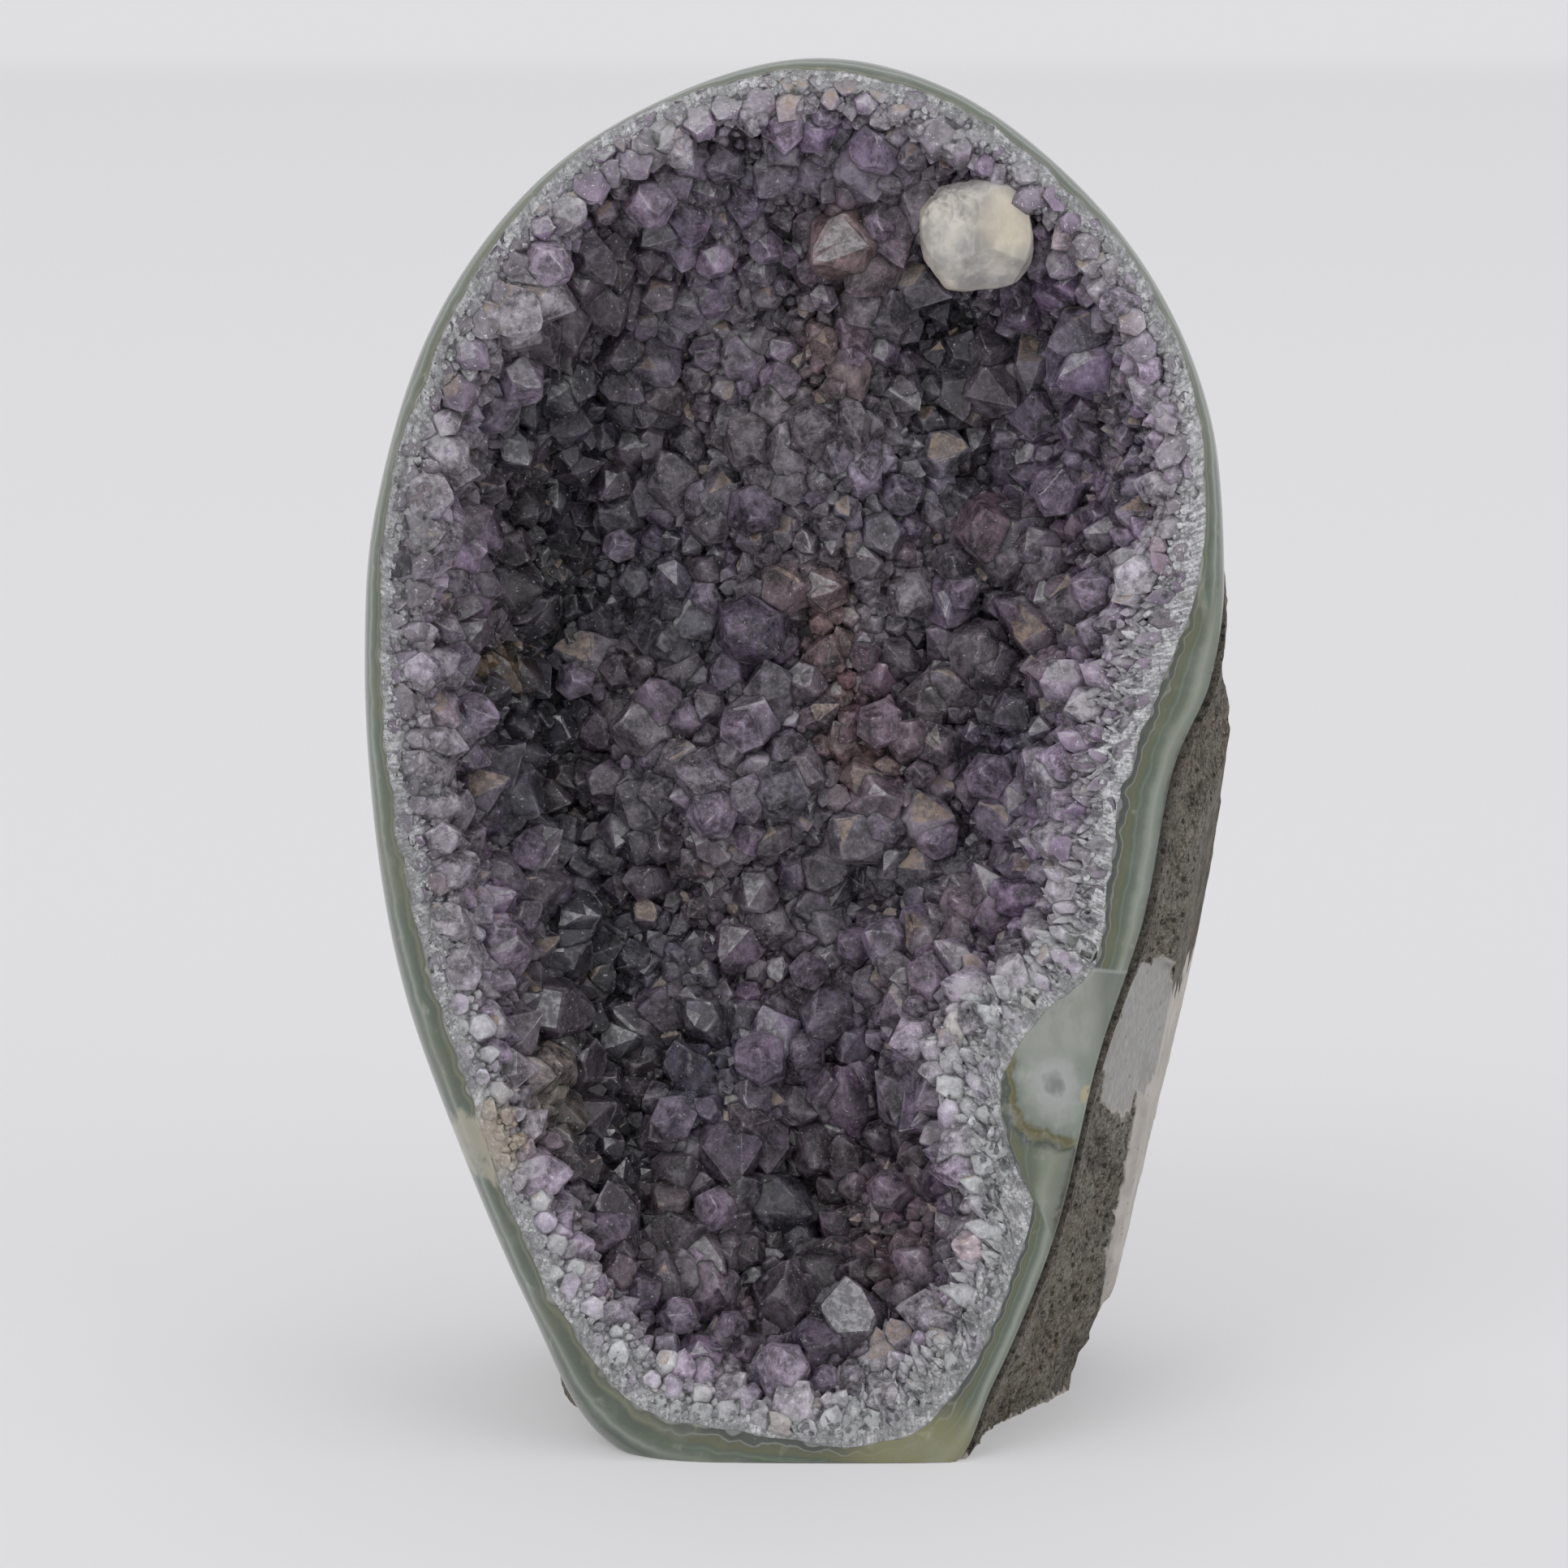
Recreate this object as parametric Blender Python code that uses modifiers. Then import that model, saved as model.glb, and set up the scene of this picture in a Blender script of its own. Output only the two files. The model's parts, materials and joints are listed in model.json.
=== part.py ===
"""Amethyst geode: a sawn and polished section of a basalt nodule that stands on its flat sawn base.

It is built as nested bowls, the way the real thing grew from the outside in: host rock, agate
rind, white quartz layer and amethyst druse, with the larger amethyst points and one calcite
crystal standing in sockets of the druse.

All lengths are in millimetres, and are turned into metres where the meshes are made. A place is
first given in the polished face's own coordinates: u to the right, v up the face, w into the rock.
"""

import math

import bmesh
import bpy
from mathutils import Matrix, Vector, noise
from mathutils.geometry import delaunay_2d_cdt

MM = 0.001

# Overall sizes
LEAN = math.radians(8.0)  # the polished face leans back from the vertical
FRONT_Y = -31.0  # where the polished face meets the table
BACK_Y = 31.0  # the rear of the rock
HEART = (-1.0, 90.0)  # the point of the face that every outline is measured from
RAYS = 60  # directions from the heart, evenly spaced along the outline
GAP = 0.3  # free space between neighbouring minerals

# Outlines on the polished face, as (u, v) points of a smooth closed line
FACE_OUTLINE = [
    (17, -2), (24, 9.5), (31.5, 28), (36.5, 49), (42, 66), (45.5, 84), (50, 95), (51.8, 108),
    (50.4, 126), (44, 142), (33.4, 155.4), (19, 166), (2.8, 170), (-14, 166), (-31.1, 155.4),
    (-44, 138), (-51, 116), (-52.5, 97), (-51.4, 77), (-48.4, 59), (-43, 42.5), (-33, 18.5),
    (-23, 1.5), (-4, -3),
]
AGATE_INNER = [
    (11, 2.6), (18.5, 8), (24.5, 18.5), (28.6, 32), (25.2, 40), (24.8, 47), (29.5, 54.5), (36.5, 62),
    (38.8, 80), (44, 94.5), (48.2, 107), (49, 124), (43.2, 141.8), (33, 154), (19, 164), (3, 168.4),
    (-15, 164.6), (-30, 155), (-42, 138), (-49, 118), (-50.2, 99), (-47.8, 74), (-39, 42.5),
    (-30, 21), (-19.5, 7), (-4, 3.2),
]
QUARTZ_INNER = [
    (9, 8), (14.5, 13), (20, 21), (23.5, 31.5), (20.5, 40), (16.5, 48), (22, 56), (30.5, 63),
    (33.5, 80), (36.5, 94), (42, 110), (44.8, 124), (39, 141), (30, 151.5), (16, 160.5), (3, 164.5),
    (-14, 160.5), (-27, 151.5), (-38, 135), (-44.5, 117), (-45.6, 99), (-43.5, 76), (-36, 46),
    (-27, 24), (-15, 10.5), (-2, 6.6),
]

# The nested bowls: how their walls curve, and their depths behind the face at their deepest
BOWL_SHARES = [1.0, 0.985, 0.95, 0.88, 0.77, 0.62, 0.44, 0.23]  # rings, as shares of the outline
BOWL_FLATNESS = 4
BOWL_STEEPNESS = 0.625
AGATE_BACK_DEPTH = 38.5
QUARTZ_BACK_DEPTH = 34.0
DRUSE_BACK_DEPTH = 30.0
DRUSE_DEPTH = 23.0  # the mean level of the crystal points
DRUSE_STEEPNESS = 0.8
DRUSE_RIM_WIDTH = 4.5  # how far the druse slopes in at the rim
DRUSE_RIM_INSET = 0.9
DRUSE_RIM_DROP = 0.8
BED_SPACING = 6.4
BED_SHUFFLE = 1.6
BED_PEAK = 0.28  # height of the bed's small pyramids, as a share of their size
ROOTED_SHARE = 0.6  # how far across the white band the druse's roots reach

# The crystal bed: its swells (+, out of the rock) and pockets (-), as (u, v, spread u, spread v, height)
RELIEF = [
    (2, 118, 13, 38, 5.0), (-27, 118, 12, 22, -4.0), (-30, 84, 9, 20, -4.5), (-9, 82, 12, 9, 4.5),
    (14, 84, 9, 12, 4.0), (27, 128, 9, 12, -3.0), (32, 108, 9, 14, 3.5), (19, 52, 11, 9, 6.5),
    (-26, 52, 9, 15, -4.0), (-6, 42, 11, 10, 4.0), (2, 29, 4, 12, -5.0), (12, 26, 7, 11, 3.0),
    (-14, 150, 13, 7, 2.5),
]

# The larger amethyst points: (u, v, radius) of each on the face
AMETHYST_POINTS = [
    (-1.6, 9.6, 3.3), (-14.8, 16.5, 2.4), (-8.2, 14.8, 2.0), (-12.4, 22.6, 1.8), (-2.6, 19.4, 2.2),
    (-10.2, 28.6, 2.9), (11.8, 31.2, 2.5), (-15.4, 39.6, 3.0), (-4.2, 47.0, 3.3), (15.4, 51.5, 2.7),
    (1.9, 57.5, 2.5), (12.2, 61.5, 2.9), (-37.4, 63.6, 2.3), (-34.0, 73.0, 2.7), (17.6, 75.2, 2.6),
    (24.4, 82.4, 3.0), (-9.9, 78.4, 3.3), (-6.2, 88.2, 3.1), (10.2, 88.6, 2.8), (33.6, 94.4, 2.9),
    (-40.6, 90.2, 2.7), (-27.2, 93.8, 2.5), (-11.1, 104.4, 2.3), (20.6, 104.8, 2.4), (36.8, 105.4, 2.6),
    (-40.8, 111.0, 2.4), (-21.6, 110.4, 2.2), (32.6, 117.6, 3.0), (8.7, 120.6, 2.0), (24.2, 129.0, 2.3),
    (33.4, 131.2, 2.4), (-34.6, 131.4, 3.0), (6.6, 134.2, 1.8), (3.2, 141.4, 1.8), (-30.2, 145.4, 2.6),
    (-9.9, 146.4, 2.3), (-18.2, 153.0, 3.0), (11.0, 150.6, 2.6),
]
POINT_ROOT = 2.4  # how deep a point stands in its socket
POINT_SHOULDER = 0.75  # height of the six-sided part above the druse, in radii
POINT_TIP = 1.15  # height of the tip above the shoulder, in radii
POINT_FORWARD = 0.45  # how far a point turns from the bed's normal towards the viewer

# The calcite crystal
CALCITE_PLACE = (22.6, 148.6)
CALCITE_EDGE = 9.2
CALCITE_FLATTENING = 0.82
CALCITE_LIFT = 3.4  # its middle stands this far out of the druse
CALCITE_TURN = math.radians(14.0)

# The rock's outside
ROLL_ROUNDED = 8.5  # radius of the polished edge round the left side and the top
ROLL_SHARP = 1.2  # radius on the right, where the rock was broken away
FLARE = 18.5  # how far the lower right of the rock spreads behind the face
FLARE_ENDS = (14, -30)  # directions (degrees) between which the spread grows from nothing to full
FLARE_BASE = (-116, -90)  # and those where it ends under the base
FOOT = 5.0  # the same at the lower left, where the rock comes through below the agate
FOOT_ENDS = (-118, -108, -104, -97)  # directions where the foot starts, is full, and ends
ROCK_TUCK = 2.0  # how far the rest of the rock draws in behind the polished edge
ROCK_LEDGE = 0.9  # how far the rock's front stands inside the polished outline
SPREAD_SHARES = (0.0, 0.62)  # shares of the depth between which the rock spreads
TUCK_SHARES = (0.1, 0.6)  # and draws in
LIP = 1.0  # rock that shows round the agate on the right
ROCK_PROFILE = [  # (share of the outline, share of the depth) from the rim to the back
    (1.0, 0.14), (1.0, 0.3), (1.0, 0.46), (0.985, 0.6), (0.94, 0.74), (0.86, 0.86), (0.7, 0.94),
    (0.48, 0.985), (0.24, 1.0),
]
ROUGHNESS = 0.9  # unevenness of the broken rock
NOISE_LENGTH = 9.0
STEP_IN = (0.4, 2.6)  # how far the agate's back steps in, on the broken side and elsewhere
STEP_BACK = 1.2  # how thick the agate's rounded edge is where the rock does not reach its front
STEP_BACK_ROCK = STEP_BACK + 0.4

# Saw cuts: a point on each plane and the way that the removed side faces
BASE_CUT = ((0, 0, 0), (0, 0, -1))
SIDE_CUT = ((52.1, 20.0, 60.0), (1.0, -0.17, -0.185))
CUTTER_SIZE = 300.0

# Colours (red, green, blue), roughness
FINISHES = {
    "basalt": ((0.17, 0.15, 0.125), 0.92),
    "agate": ((0.22, 0.28, 0.21), 0.22),
    "quartz": ((0.62, 0.61, 0.64), 0.35),
    "amethyst": ((0.12, 0.09, 0.15), 0.22),
    "amethyst_point": ((0.24, 0.17, 0.28), 0.15),
    "calcite": ((0.62, 0.55, 0.44), 0.4),
}


# ---------------------------------------------------------------- the face and its outlines


def closed_line(points, steps=12):
    """Points along a smooth closed line (Catmull-Rom) through the given ones."""
    count = len(points)
    line = []
    for i in range(count):
        before, start, end, after = (Vector(points[(i + k) % count]) for k in (-1, 0, 1, 2))
        for step in range(steps):
            t = step / steps
            line.append(
                0.5
                * (
                    2 * start
                    + (end - before) * t
                    + (2 * before - 5 * start + 4 * end - after) * t**2
                    + (3 * start - before - 3 * end + after) * t**3
                )
            )
    return line


def angle_to(point):
    """The direction of a face point from the heart."""
    return math.atan2(point[1] - HEART[1], point[0] - HEART[0])


def radius_of(points):
    """A function that gives a closed outline's distance from the heart in any direction."""
    line = closed_line(points)
    table = sorted((angle_to(p), math.dist(p, HEART)) for p in line)
    table = (
        [(table[-1][0] - math.tau, table[-1][1])] + table + [(table[0][0] + math.tau, table[0][1])]
    )

    def radius(angle):
        angle = math.remainder(angle, math.tau)
        for (a, ra), (b, rb) in zip(table, table[1:]):
            if a <= angle <= b and b > a:
                return ra + (rb - ra) * (angle - a) / (b - a)
        return table[0][1]

    return radius


def even_directions():
    """The directions of RAYS points spaced evenly along the face's outline."""
    line = closed_line(FACE_OUTLINE)
    total = sum((b - a).length for a, b in zip(line, line[1:] + line[:1]))
    directions, travelled, wanted = [], 0.0, 0.0
    for a, b in zip(line, line[1:] + line[:1]):
        length = (b - a).length
        while wanted <= travelled + length - 1e-6 and len(directions) < RAYS:
            directions.append(angle_to(a.lerp(b, (wanted - travelled) / length)))
            wanted += total / RAYS
        travelled += length
    return directions


FACE_RADIUS = radius_of(FACE_OUTLINE)
AGATE_RADIUS = radius_of(AGATE_INNER)
QUARTZ_RADIUS = radius_of(QUARTZ_INNER)


def druse_radius(angle):
    """Where the points root in the white quartz, part of the way across its band."""
    band = AGATE_RADIUS(angle) - QUARTZ_RADIUS(angle)
    return QUARTZ_RADIUS(angle) + band * ROOTED_SHARE


DIRECTIONS = even_directions()


def smooth(low, high, value):
    t = min(1.0, max(0.0, (value - low) / (high - low)))
    return t * t * (3 - 2 * t)


def right_side(angle):
    """1 along the right side of the face, where the rock is broken, and 0 round the rest."""
    degrees = math.degrees(math.remainder(angle, math.tau))
    return smooth(-112, -88, degrees) * (1 - smooth(4, 30, degrees))


def roll_radius(angle):
    return ROLL_ROUNDED + (ROLL_SHARP - ROLL_ROUNDED) * right_side(angle)


def face_depth(angle, radius):
    """How far the polished surface has rolled back from the face's plane."""
    roll = roll_radius(angle)
    inside = FACE_RADIUS(angle) - radius
    if inside >= roll:
        return 0.0
    return roll - math.sqrt(max(0.0, roll**2 - (roll - max(0.0, inside)) ** 2))


def on_ray(angle, radius, depth):
    """(u, v, w) at a distance from the heart."""
    return Vector((HEART[0] + radius * math.cos(angle), HEART[1] + radius * math.sin(angle), depth))


def to_world(place):
    """Metres in the object's frame, for a (u, v, w) place in millimetres."""
    u, v, w = place
    y = FRONT_Y + v * math.sin(LEAN) + w * math.cos(LEAN)
    z = v * math.cos(LEAN) - w * math.sin(LEAN)
    return Vector((u, y, z)) * MM


# ---------------------------------------------------------------- bowls


def bowl_depth(share, start, deepest):
    """The depth of a bowl's wall at a share of its outline: steep at the rim, flat in the middle."""
    return start + (deepest - start) * (1 - min(1.0, share) ** BOWL_FLATNESS) ** BOWL_STEEPNESS


def bowl_rings(outline, deepest, inset=0.0, start_below=0.0):
    """Rings of a bowl from its rim to its middle, and the bottom point.

    inset draws the whole bowl in, start_below lowers the rim."""
    rings = []
    for share in BOWL_SHARES:
        ring = []
        for angle in DIRECTIONS:
            radius = outline(angle) - inset
            start = face_depth(angle, radius) + start_below
            ring.append(on_ray(angle, radius * share, bowl_depth(share, start, deepest)))
        rings.append(ring)
    return rings, on_ray(0, 0, deepest)


def material(name):
    colour, roughness = FINISHES[name]
    made = bpy.data.materials.get(name) or bpy.data.materials.new(name)
    made.use_nodes = True
    shader = made.node_tree.nodes["Principled BSDF"]
    shader.inputs["Base Color"].default_value = (*colour, 1)
    shader.inputs["Roughness"].default_value = roughness
    shader.inputs["Metallic"].default_value = 0.0
    made.diffuse_color = (*colour, 1)
    return made


def object_from(bm, name, finish, collection):
    bmesh.ops.remove_doubles(bm, verts=bm.verts, dist=1e-6)
    bmesh.ops.recalc_face_normals(bm, faces=bm.faces)
    mesh = bpy.data.meshes.new(name)
    bm.to_mesh(mesh)
    bm.free()
    made = bpy.data.objects.new(name, mesh)
    collection.objects.link(made)
    if finish:
        mesh.materials.append(material(finish))
    return made


def add_ring(bm, ring):
    return [bm.verts.new(to_world(place)) for place in ring]


def bridge(bm, first, second):
    """Triangles between two rings, split the same way in every bowl so that walls stay parallel."""
    count = len(first)
    for i in range(count):
        j = (i + 1) % count
        bm.faces.new((first[i], first[j], second[j]))
        bm.faces.new((first[i], second[j], second[i]))


def fan(bm, ring, point):
    for i, vert in enumerate(ring):
        bm.faces.new((vert, ring[(i + 1) % len(ring)], point))


def loft(bm, rings, closing=None):
    """Joins rings in order, and closes the last one to a point."""
    verts = [add_ring(bm, ring) for ring in rings]
    for first, second in zip(verts, verts[1:]):
        bridge(bm, first, second)
    if closing is not None:
        fan(bm, verts[-1], bm.verts.new(to_world(closing)))
    return verts


def saw(part, cutter):
    cut = part.modifiers.new("saw_" + cutter.name, "BOOLEAN")
    cut.operation = "DIFFERENCE"
    cut.object = cutter


# ---------------------------------------------------------------- the minerals


def depth_of_back(v):
    """How far behind the face the rock's back lies, at a height on the face."""
    return (BACK_Y - FRONT_Y - v * math.sin(LEAN)) / math.cos(LEAN)


def rock_outer(angle, scale, share):
    """A point of the rock's broken outside, before the saw cuts."""
    degrees = math.degrees(math.remainder(angle, math.tau))
    right = right_side(angle)
    spread = FLARE * smooth(*FLARE_ENDS, degrees) * smooth(*FLARE_BASE, degrees)
    spread += FOOT * smooth(*FOOT_ENDS[:2], degrees) * (1 - smooth(*FOOT_ENDS[2:], degrees))
    rim = FACE_RADIUS(angle) + LIP * right - ROCK_LEDGE * (1 - right)
    spread *= smooth(*SPREAD_SHARES, share)
    tuck = ROCK_TUCK * (1 - right) * smooth(*TUCK_SHARES, share)
    radius = (rim + spread - tuck) * scale
    height = HEART[1] + radius * math.sin(angle)
    thickness = depth_of_back(height)
    start = face_depth(angle, FACE_RADIUS(angle)) + GAP + STEP_BACK_ROCK * (1 - right)
    depth = start + (thickness - start) * share
    place = on_ray(angle, radius, depth)
    uneven = ROUGHNESS * smooth(0.0, 0.2, share) * noise.noise(place / NOISE_LENGTH)
    return on_ray(angle, radius + uneven * 2, depth + uneven)


def rock_step(angle):
    """How far the agate's back steps in behind the polished edge, leaving room for the rock."""
    return STEP_IN[0] + (STEP_IN[1] - STEP_IN[0]) * (1 - right_side(angle))


def stepped_bowl(deepest, grow):
    """The surface between agate and rock: from the polished outline in, then back."""
    rings = []
    for share in BOWL_SHARES:
        ring = []
        for angle in DIRECTIONS:
            wall = FACE_RADIUS(angle) - rock_step(angle) + grow
            rim = face_depth(angle, FACE_RADIUS(angle))
            start = rim + STEP_BACK * (1 - right_side(angle)) + grow
            ring.append(on_ray(angle, wall * share, bowl_depth(share, start, deepest + grow)))
        rings.append(ring)
    return rings, on_ray(0, 0, deepest + grow)


def host_rock(collection):
    bm = bmesh.new()
    inner, inner_middle = stepped_bowl(AGATE_BACK_DEPTH, GAP)
    outer = [[rock_outer(angle, 1.0, 0.0) for angle in DIRECTIONS]]
    for scale, share in ROCK_PROFILE:
        outer.append([rock_outer(angle, scale, share) for angle in DIRECTIONS])
    outer_verts = loft(bm, outer, on_ray(0, 0, depth_of_back(HEART[1])))
    inner_verts = loft(bm, inner, inner_middle)
    bridge(bm, inner_verts[0], outer_verts[0])
    return object_from(bm, "host_rock", "basalt", collection)


def agate_rind(collection):
    bm = bmesh.new()
    polished = []
    for part in (0.0, 0.35, 0.7, 0.9, 1.0):
        ring = []
        for angle in DIRECTIONS:
            inner, outline = AGATE_RADIUS(angle), FACE_RADIUS(angle)
            radius = inner + (outline - inner) * part
            ring.append(on_ray(angle, radius, face_depth(angle, radius)))
        polished.append(ring)
    outer, outer_middle = stepped_bowl(AGATE_BACK_DEPTH, 0.0)
    inner, inner_middle = bowl_rings(AGATE_RADIUS, QUARTZ_BACK_DEPTH + GAP)
    loft(bm, polished)
    loft(bm, [polished[-1]] + outer, outer_middle)
    loft(bm, inner, inner_middle)
    return object_from(bm, "agate_rind", "agate", collection)


def quartz_layer(collection):
    bm = bmesh.new()
    outer, outer_middle = bowl_rings(AGATE_RADIUS, QUARTZ_BACK_DEPTH, inset=GAP)
    inner, inner_middle = bowl_rings(druse_radius, DRUSE_BACK_DEPTH + GAP)
    loft(bm, [inner[0], outer[0]])
    loft(bm, outer, outer_middle)
    loft(bm, inner, inner_middle)
    return object_from(bm, "quartz_layer", "quartz", collection)


def relief(u, v):
    return sum(
        height * math.exp(-(((u - cu) / su) ** 2) - ((v - cv) / sv) ** 2)
        for cu, cv, su, sv, height in RELIEF
    )


def druse_surface(u, v):
    """Depth of the crystal bed's points behind the face."""
    angle = angle_to((u, v))
    rim = QUARTZ_RADIUS(angle) - DRUSE_RIM_INSET
    share = min(1.0, math.dist((u, v), HEART) / rim)
    start = face_depth(angle, rim) + DRUSE_RIM_DROP
    steepness = 1 - share**BOWL_FLATNESS
    level = start + (DRUSE_DEPTH - start) * steepness**DRUSE_STEEPNESS
    return level - relief(u, v) * smooth(0.0, 0.5, steepness)


def druse_normal(u, v):
    """The way out of the crystal bed, as a (u, v, w) direction."""
    reach = 1.5
    slope_u = (druse_surface(u + reach, v) - druse_surface(u - reach, v)) / (2 * reach)
    slope_v = (druse_surface(u, v + reach) - druse_surface(u, v - reach)) / (2 * reach)
    return Vector((slope_u, slope_v, -1)).normalized()


def bed_points():
    """Places of the bed's corners on the face: a slightly shuffled triangular grid."""
    points = []
    row_height = BED_SPACING * math.sqrt(3) / 2
    rows = math.ceil(max(v for u, v in FACE_OUTLINE) / row_height)
    side = math.ceil(max(u for u, v in FACE_OUTLINE) / BED_SPACING)
    for row in range(rows):
        for column in range(-side, side + 1):
            u = (column + 0.5 * (row % 2)) * BED_SPACING
            v = row * row_height
            shuffle = noise.noise_vector(Vector((u, v, 3.1)) * 0.7) * BED_SHUFFLE
            u += shuffle.x
            v += shuffle.y
            if math.dist((u, v), HEART) < QUARTZ_RADIUS(angle_to((u, v))) - DRUSE_RIM_WIDTH:
                points.append(Vector((u, v)))
    return points


def amethyst_druse(collection):
    bm = bmesh.new()
    outer, outer_middle = bowl_rings(druse_radius, DRUSE_BACK_DEPTH, inset=GAP, start_below=GAP)
    outer_verts = loft(bm, outer, outer_middle)
    rim = []
    for angle in DIRECTIONS:
        place = on_ray(angle, QUARTZ_RADIUS(angle) - DRUSE_RIM_WIDTH * 0.45, 0)
        rim.append(Vector((place.x, place.y, druse_surface(place.x, place.y))))
    rim_verts = add_ring(bm, rim)
    bridge(bm, outer_verts[0], rim_verts)
    flat = [Vector((p.x, p.y)) for p in rim] + bed_points()
    corners, _, faces, origin, _, _ = delaunay_2d_cdt(flat, [], [list(range(len(rim)))], 1, 1e-5)
    verts = []
    for corner, source in zip(corners, origin):
        first = min(source) if source else len(rim)
        if first < len(rim):
            verts.append(rim_verts[first])
        else:
            place = Vector((corner.x, corner.y, druse_surface(corner.x, corner.y)))
            verts.append(bm.verts.new(to_world(place)))
    bed = [bm.faces.new([verts[i] for i in face]) for face in faces]
    bmesh.ops.recalc_face_normals(bm, faces=bm.faces)
    bmesh.ops.poke(bm, faces=bed, offset=BED_PEAK, use_relative_offset=True)
    return object_from(bm, "amethyst_druse", "amethyst", collection)


def axis_frame(place, outward):
    """A matrix that stands a shape, made along +Z, on a face place and along a (u, v, w) direction."""
    foot = to_world(place)
    up = (to_world(place + outward) - foot).normalized()
    return Matrix.Translation(foot) @ up.to_track_quat("Z", "Y").to_matrix().to_4x4()


def point_axis(u, v):
    """The direction of a large point: between the bed's normal and the viewer."""
    shuffle = noise.noise_vector(Vector((u, v, 7.7)) * 0.9) * 0.22
    return (druse_normal(u, v) + POINT_FORWARD * Vector((0, 0, -1)) + shuffle).normalized()


def hexagonal_point(radius, root, shoulder, tip, turn, lean):
    """A six-sided quartz point along +Z from -root, with its apex off centre by lean."""
    bm = bmesh.new()
    length = root + shoulder
    placing = Matrix.Rotation(turn, 4, "Z") @ Matrix.Translation((0, 0, (length / 2 - root) * MM))
    bmesh.ops.create_cone(
        bm,
        cap_ends=True,
        segments=6,
        radius1=radius * MM,
        radius2=radius * MM,
        depth=length * MM,
        matrix=placing,
    )
    if tip:
        top = max(bm.faces, key=lambda face: face.calc_center_median().z)
        apex = bmesh.ops.poke(bm, faces=[top], offset=tip * MM)["verts"][0]
        apex.co += lean * MM
    return bm


def amethyst_point(number, u, v, radius, collection, cutters):
    place = Vector((u, v, druse_surface(u, v)))
    frame = axis_frame(place, point_axis(u, v))
    turn = number * 0.7
    lean = Vector((math.cos(number * 2.4), math.sin(number * 2.4), 0)) * radius * 0.22
    shoulder, tip = radius * POINT_SHOULDER, radius * POINT_TIP
    solid = object_from(
        hexagonal_point(radius, POINT_ROOT, shoulder, tip, turn, lean),
        f"amethyst_point_{number:02d}",
        "amethyst_point",
        collection,
    )
    solid.matrix_world = frame
    clear = radius + 1.15 * GAP
    socket = object_from(
        hexagonal_point(clear, POINT_ROOT + GAP, shoulder + tip, 0, turn, lean),
        f"socket_{number:02d}",
        None,
        cutters,
    )
    socket.matrix_world = frame
    return solid


def rhomb(edge):
    """A calcite rhomb standing on a corner: a cube with one diagonal along +Z, flattened along it."""
    bm = bmesh.new()
    bmesh.ops.create_cube(bm, size=edge * MM)
    upright = Vector((1, 1, 1)).rotation_difference(Vector((0, 0, 1))).to_matrix().to_4x4()
    flatten = Matrix.Diagonal((1, 1, CALCITE_FLATTENING, 1))
    turn = Matrix.Rotation(CALCITE_TURN, 4, "Z")
    bmesh.ops.transform(bm, matrix=turn @ flatten @ upright, verts=bm.verts)
    return bm


def calcite_crystal(collection, cutters):
    u, v = CALCITE_PLACE
    outward = (druse_normal(u, v) + 1.2 * Vector((0, 0, -1))).normalized()
    place = Vector((u, v, druse_surface(u, v))) + outward * CALCITE_LIFT
    frame = axis_frame(place, outward)
    crystal = object_from(rhomb(CALCITE_EDGE), "calcite_crystal", "calcite", collection)
    crystal.matrix_world = frame
    bevel = crystal.modifiers.new("worn_edges", "BEVEL")
    bevel.width = 0.5 * MM
    bevel.segments = 1
    bevel.limit_method = "NONE"
    socket = object_from(rhomb(CALCITE_EDGE + 3.2 * GAP), "socket_calcite", None, cutters)
    socket.matrix_world = frame
    return crystal


# ---------------------------------------------------------------- the saw


def half_space(name, plane, cutters):
    """A large block whose one face lies on the plane, on the removed side."""
    point, outward = plane
    bm = bmesh.new()
    bmesh.ops.create_cube(bm, size=CUTTER_SIZE * MM)
    block = object_from(bm, name, None, cutters)
    away = Vector(outward).normalized()
    block.matrix_world = (
        Matrix.Translation(Vector(point) * MM + away * CUTTER_SIZE / 2 * MM)
        @ away.to_track_quat("Z", "Y").to_matrix().to_4x4()
    )
    return block


def main():
    for old in list(bpy.data.objects):
        bpy.data.objects.remove(old)
    scene = bpy.context.scene
    scene.unit_settings.system = "METRIC"
    geode = bpy.data.collections.new("amethyst_geode")
    cutters = bpy.data.collections.new("cutters")
    sockets = bpy.data.collections.new("sockets")
    for group in (geode, cutters, sockets):
        scene.collection.children.link(group)

    base = half_space("base", BASE_CUT, cutters)
    side = half_space("side", SIDE_CUT, cutters)
    rock = host_rock(geode)
    saw(rock, base)
    saw(rock, side)
    saw(agate_rind(geode), base)
    quartz_layer(geode)
    druse = amethyst_druse(geode)
    for number, (u, v, radius) in enumerate(AMETHYST_POINTS, start=1):
        amethyst_point(number, u, v, radius, geode, sockets)
    calcite_crystal(geode, sockets)

    holes = druse.modifiers.new("sockets", "BOOLEAN")
    holes.operation = "DIFFERENCE"
    holes.operand_type = "COLLECTION"
    holes.collection = sockets
    for helper in list(cutters.objects) + list(sockets.objects):
        helper.hide_render = True
        helper.display_type = "WIRE"


main()
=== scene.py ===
"""Amethyst geode: a sawn and polished section of a basalt nodule, lined with crystals.

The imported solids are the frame. Each mineral gets a detailed piece that stands where its solid
stands: broken basalt, polished banded agate, granular white quartz, a bed of amethyst crystals with
larger points, and one calcite crystal.

Sizes are in millimetres until to_world turns them into metres. A place on the geode is given in the
polished face's own coordinates: u to the right, v up the face, w into the rock.
"""

import json
import math
import random
from itertools import combinations

import bmesh
import bpy
import numpy as np
from bpy.props import FloatProperty, FloatVectorProperty, IntProperty, PointerProperty
from mathutils import Matrix, Vector, noise

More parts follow.
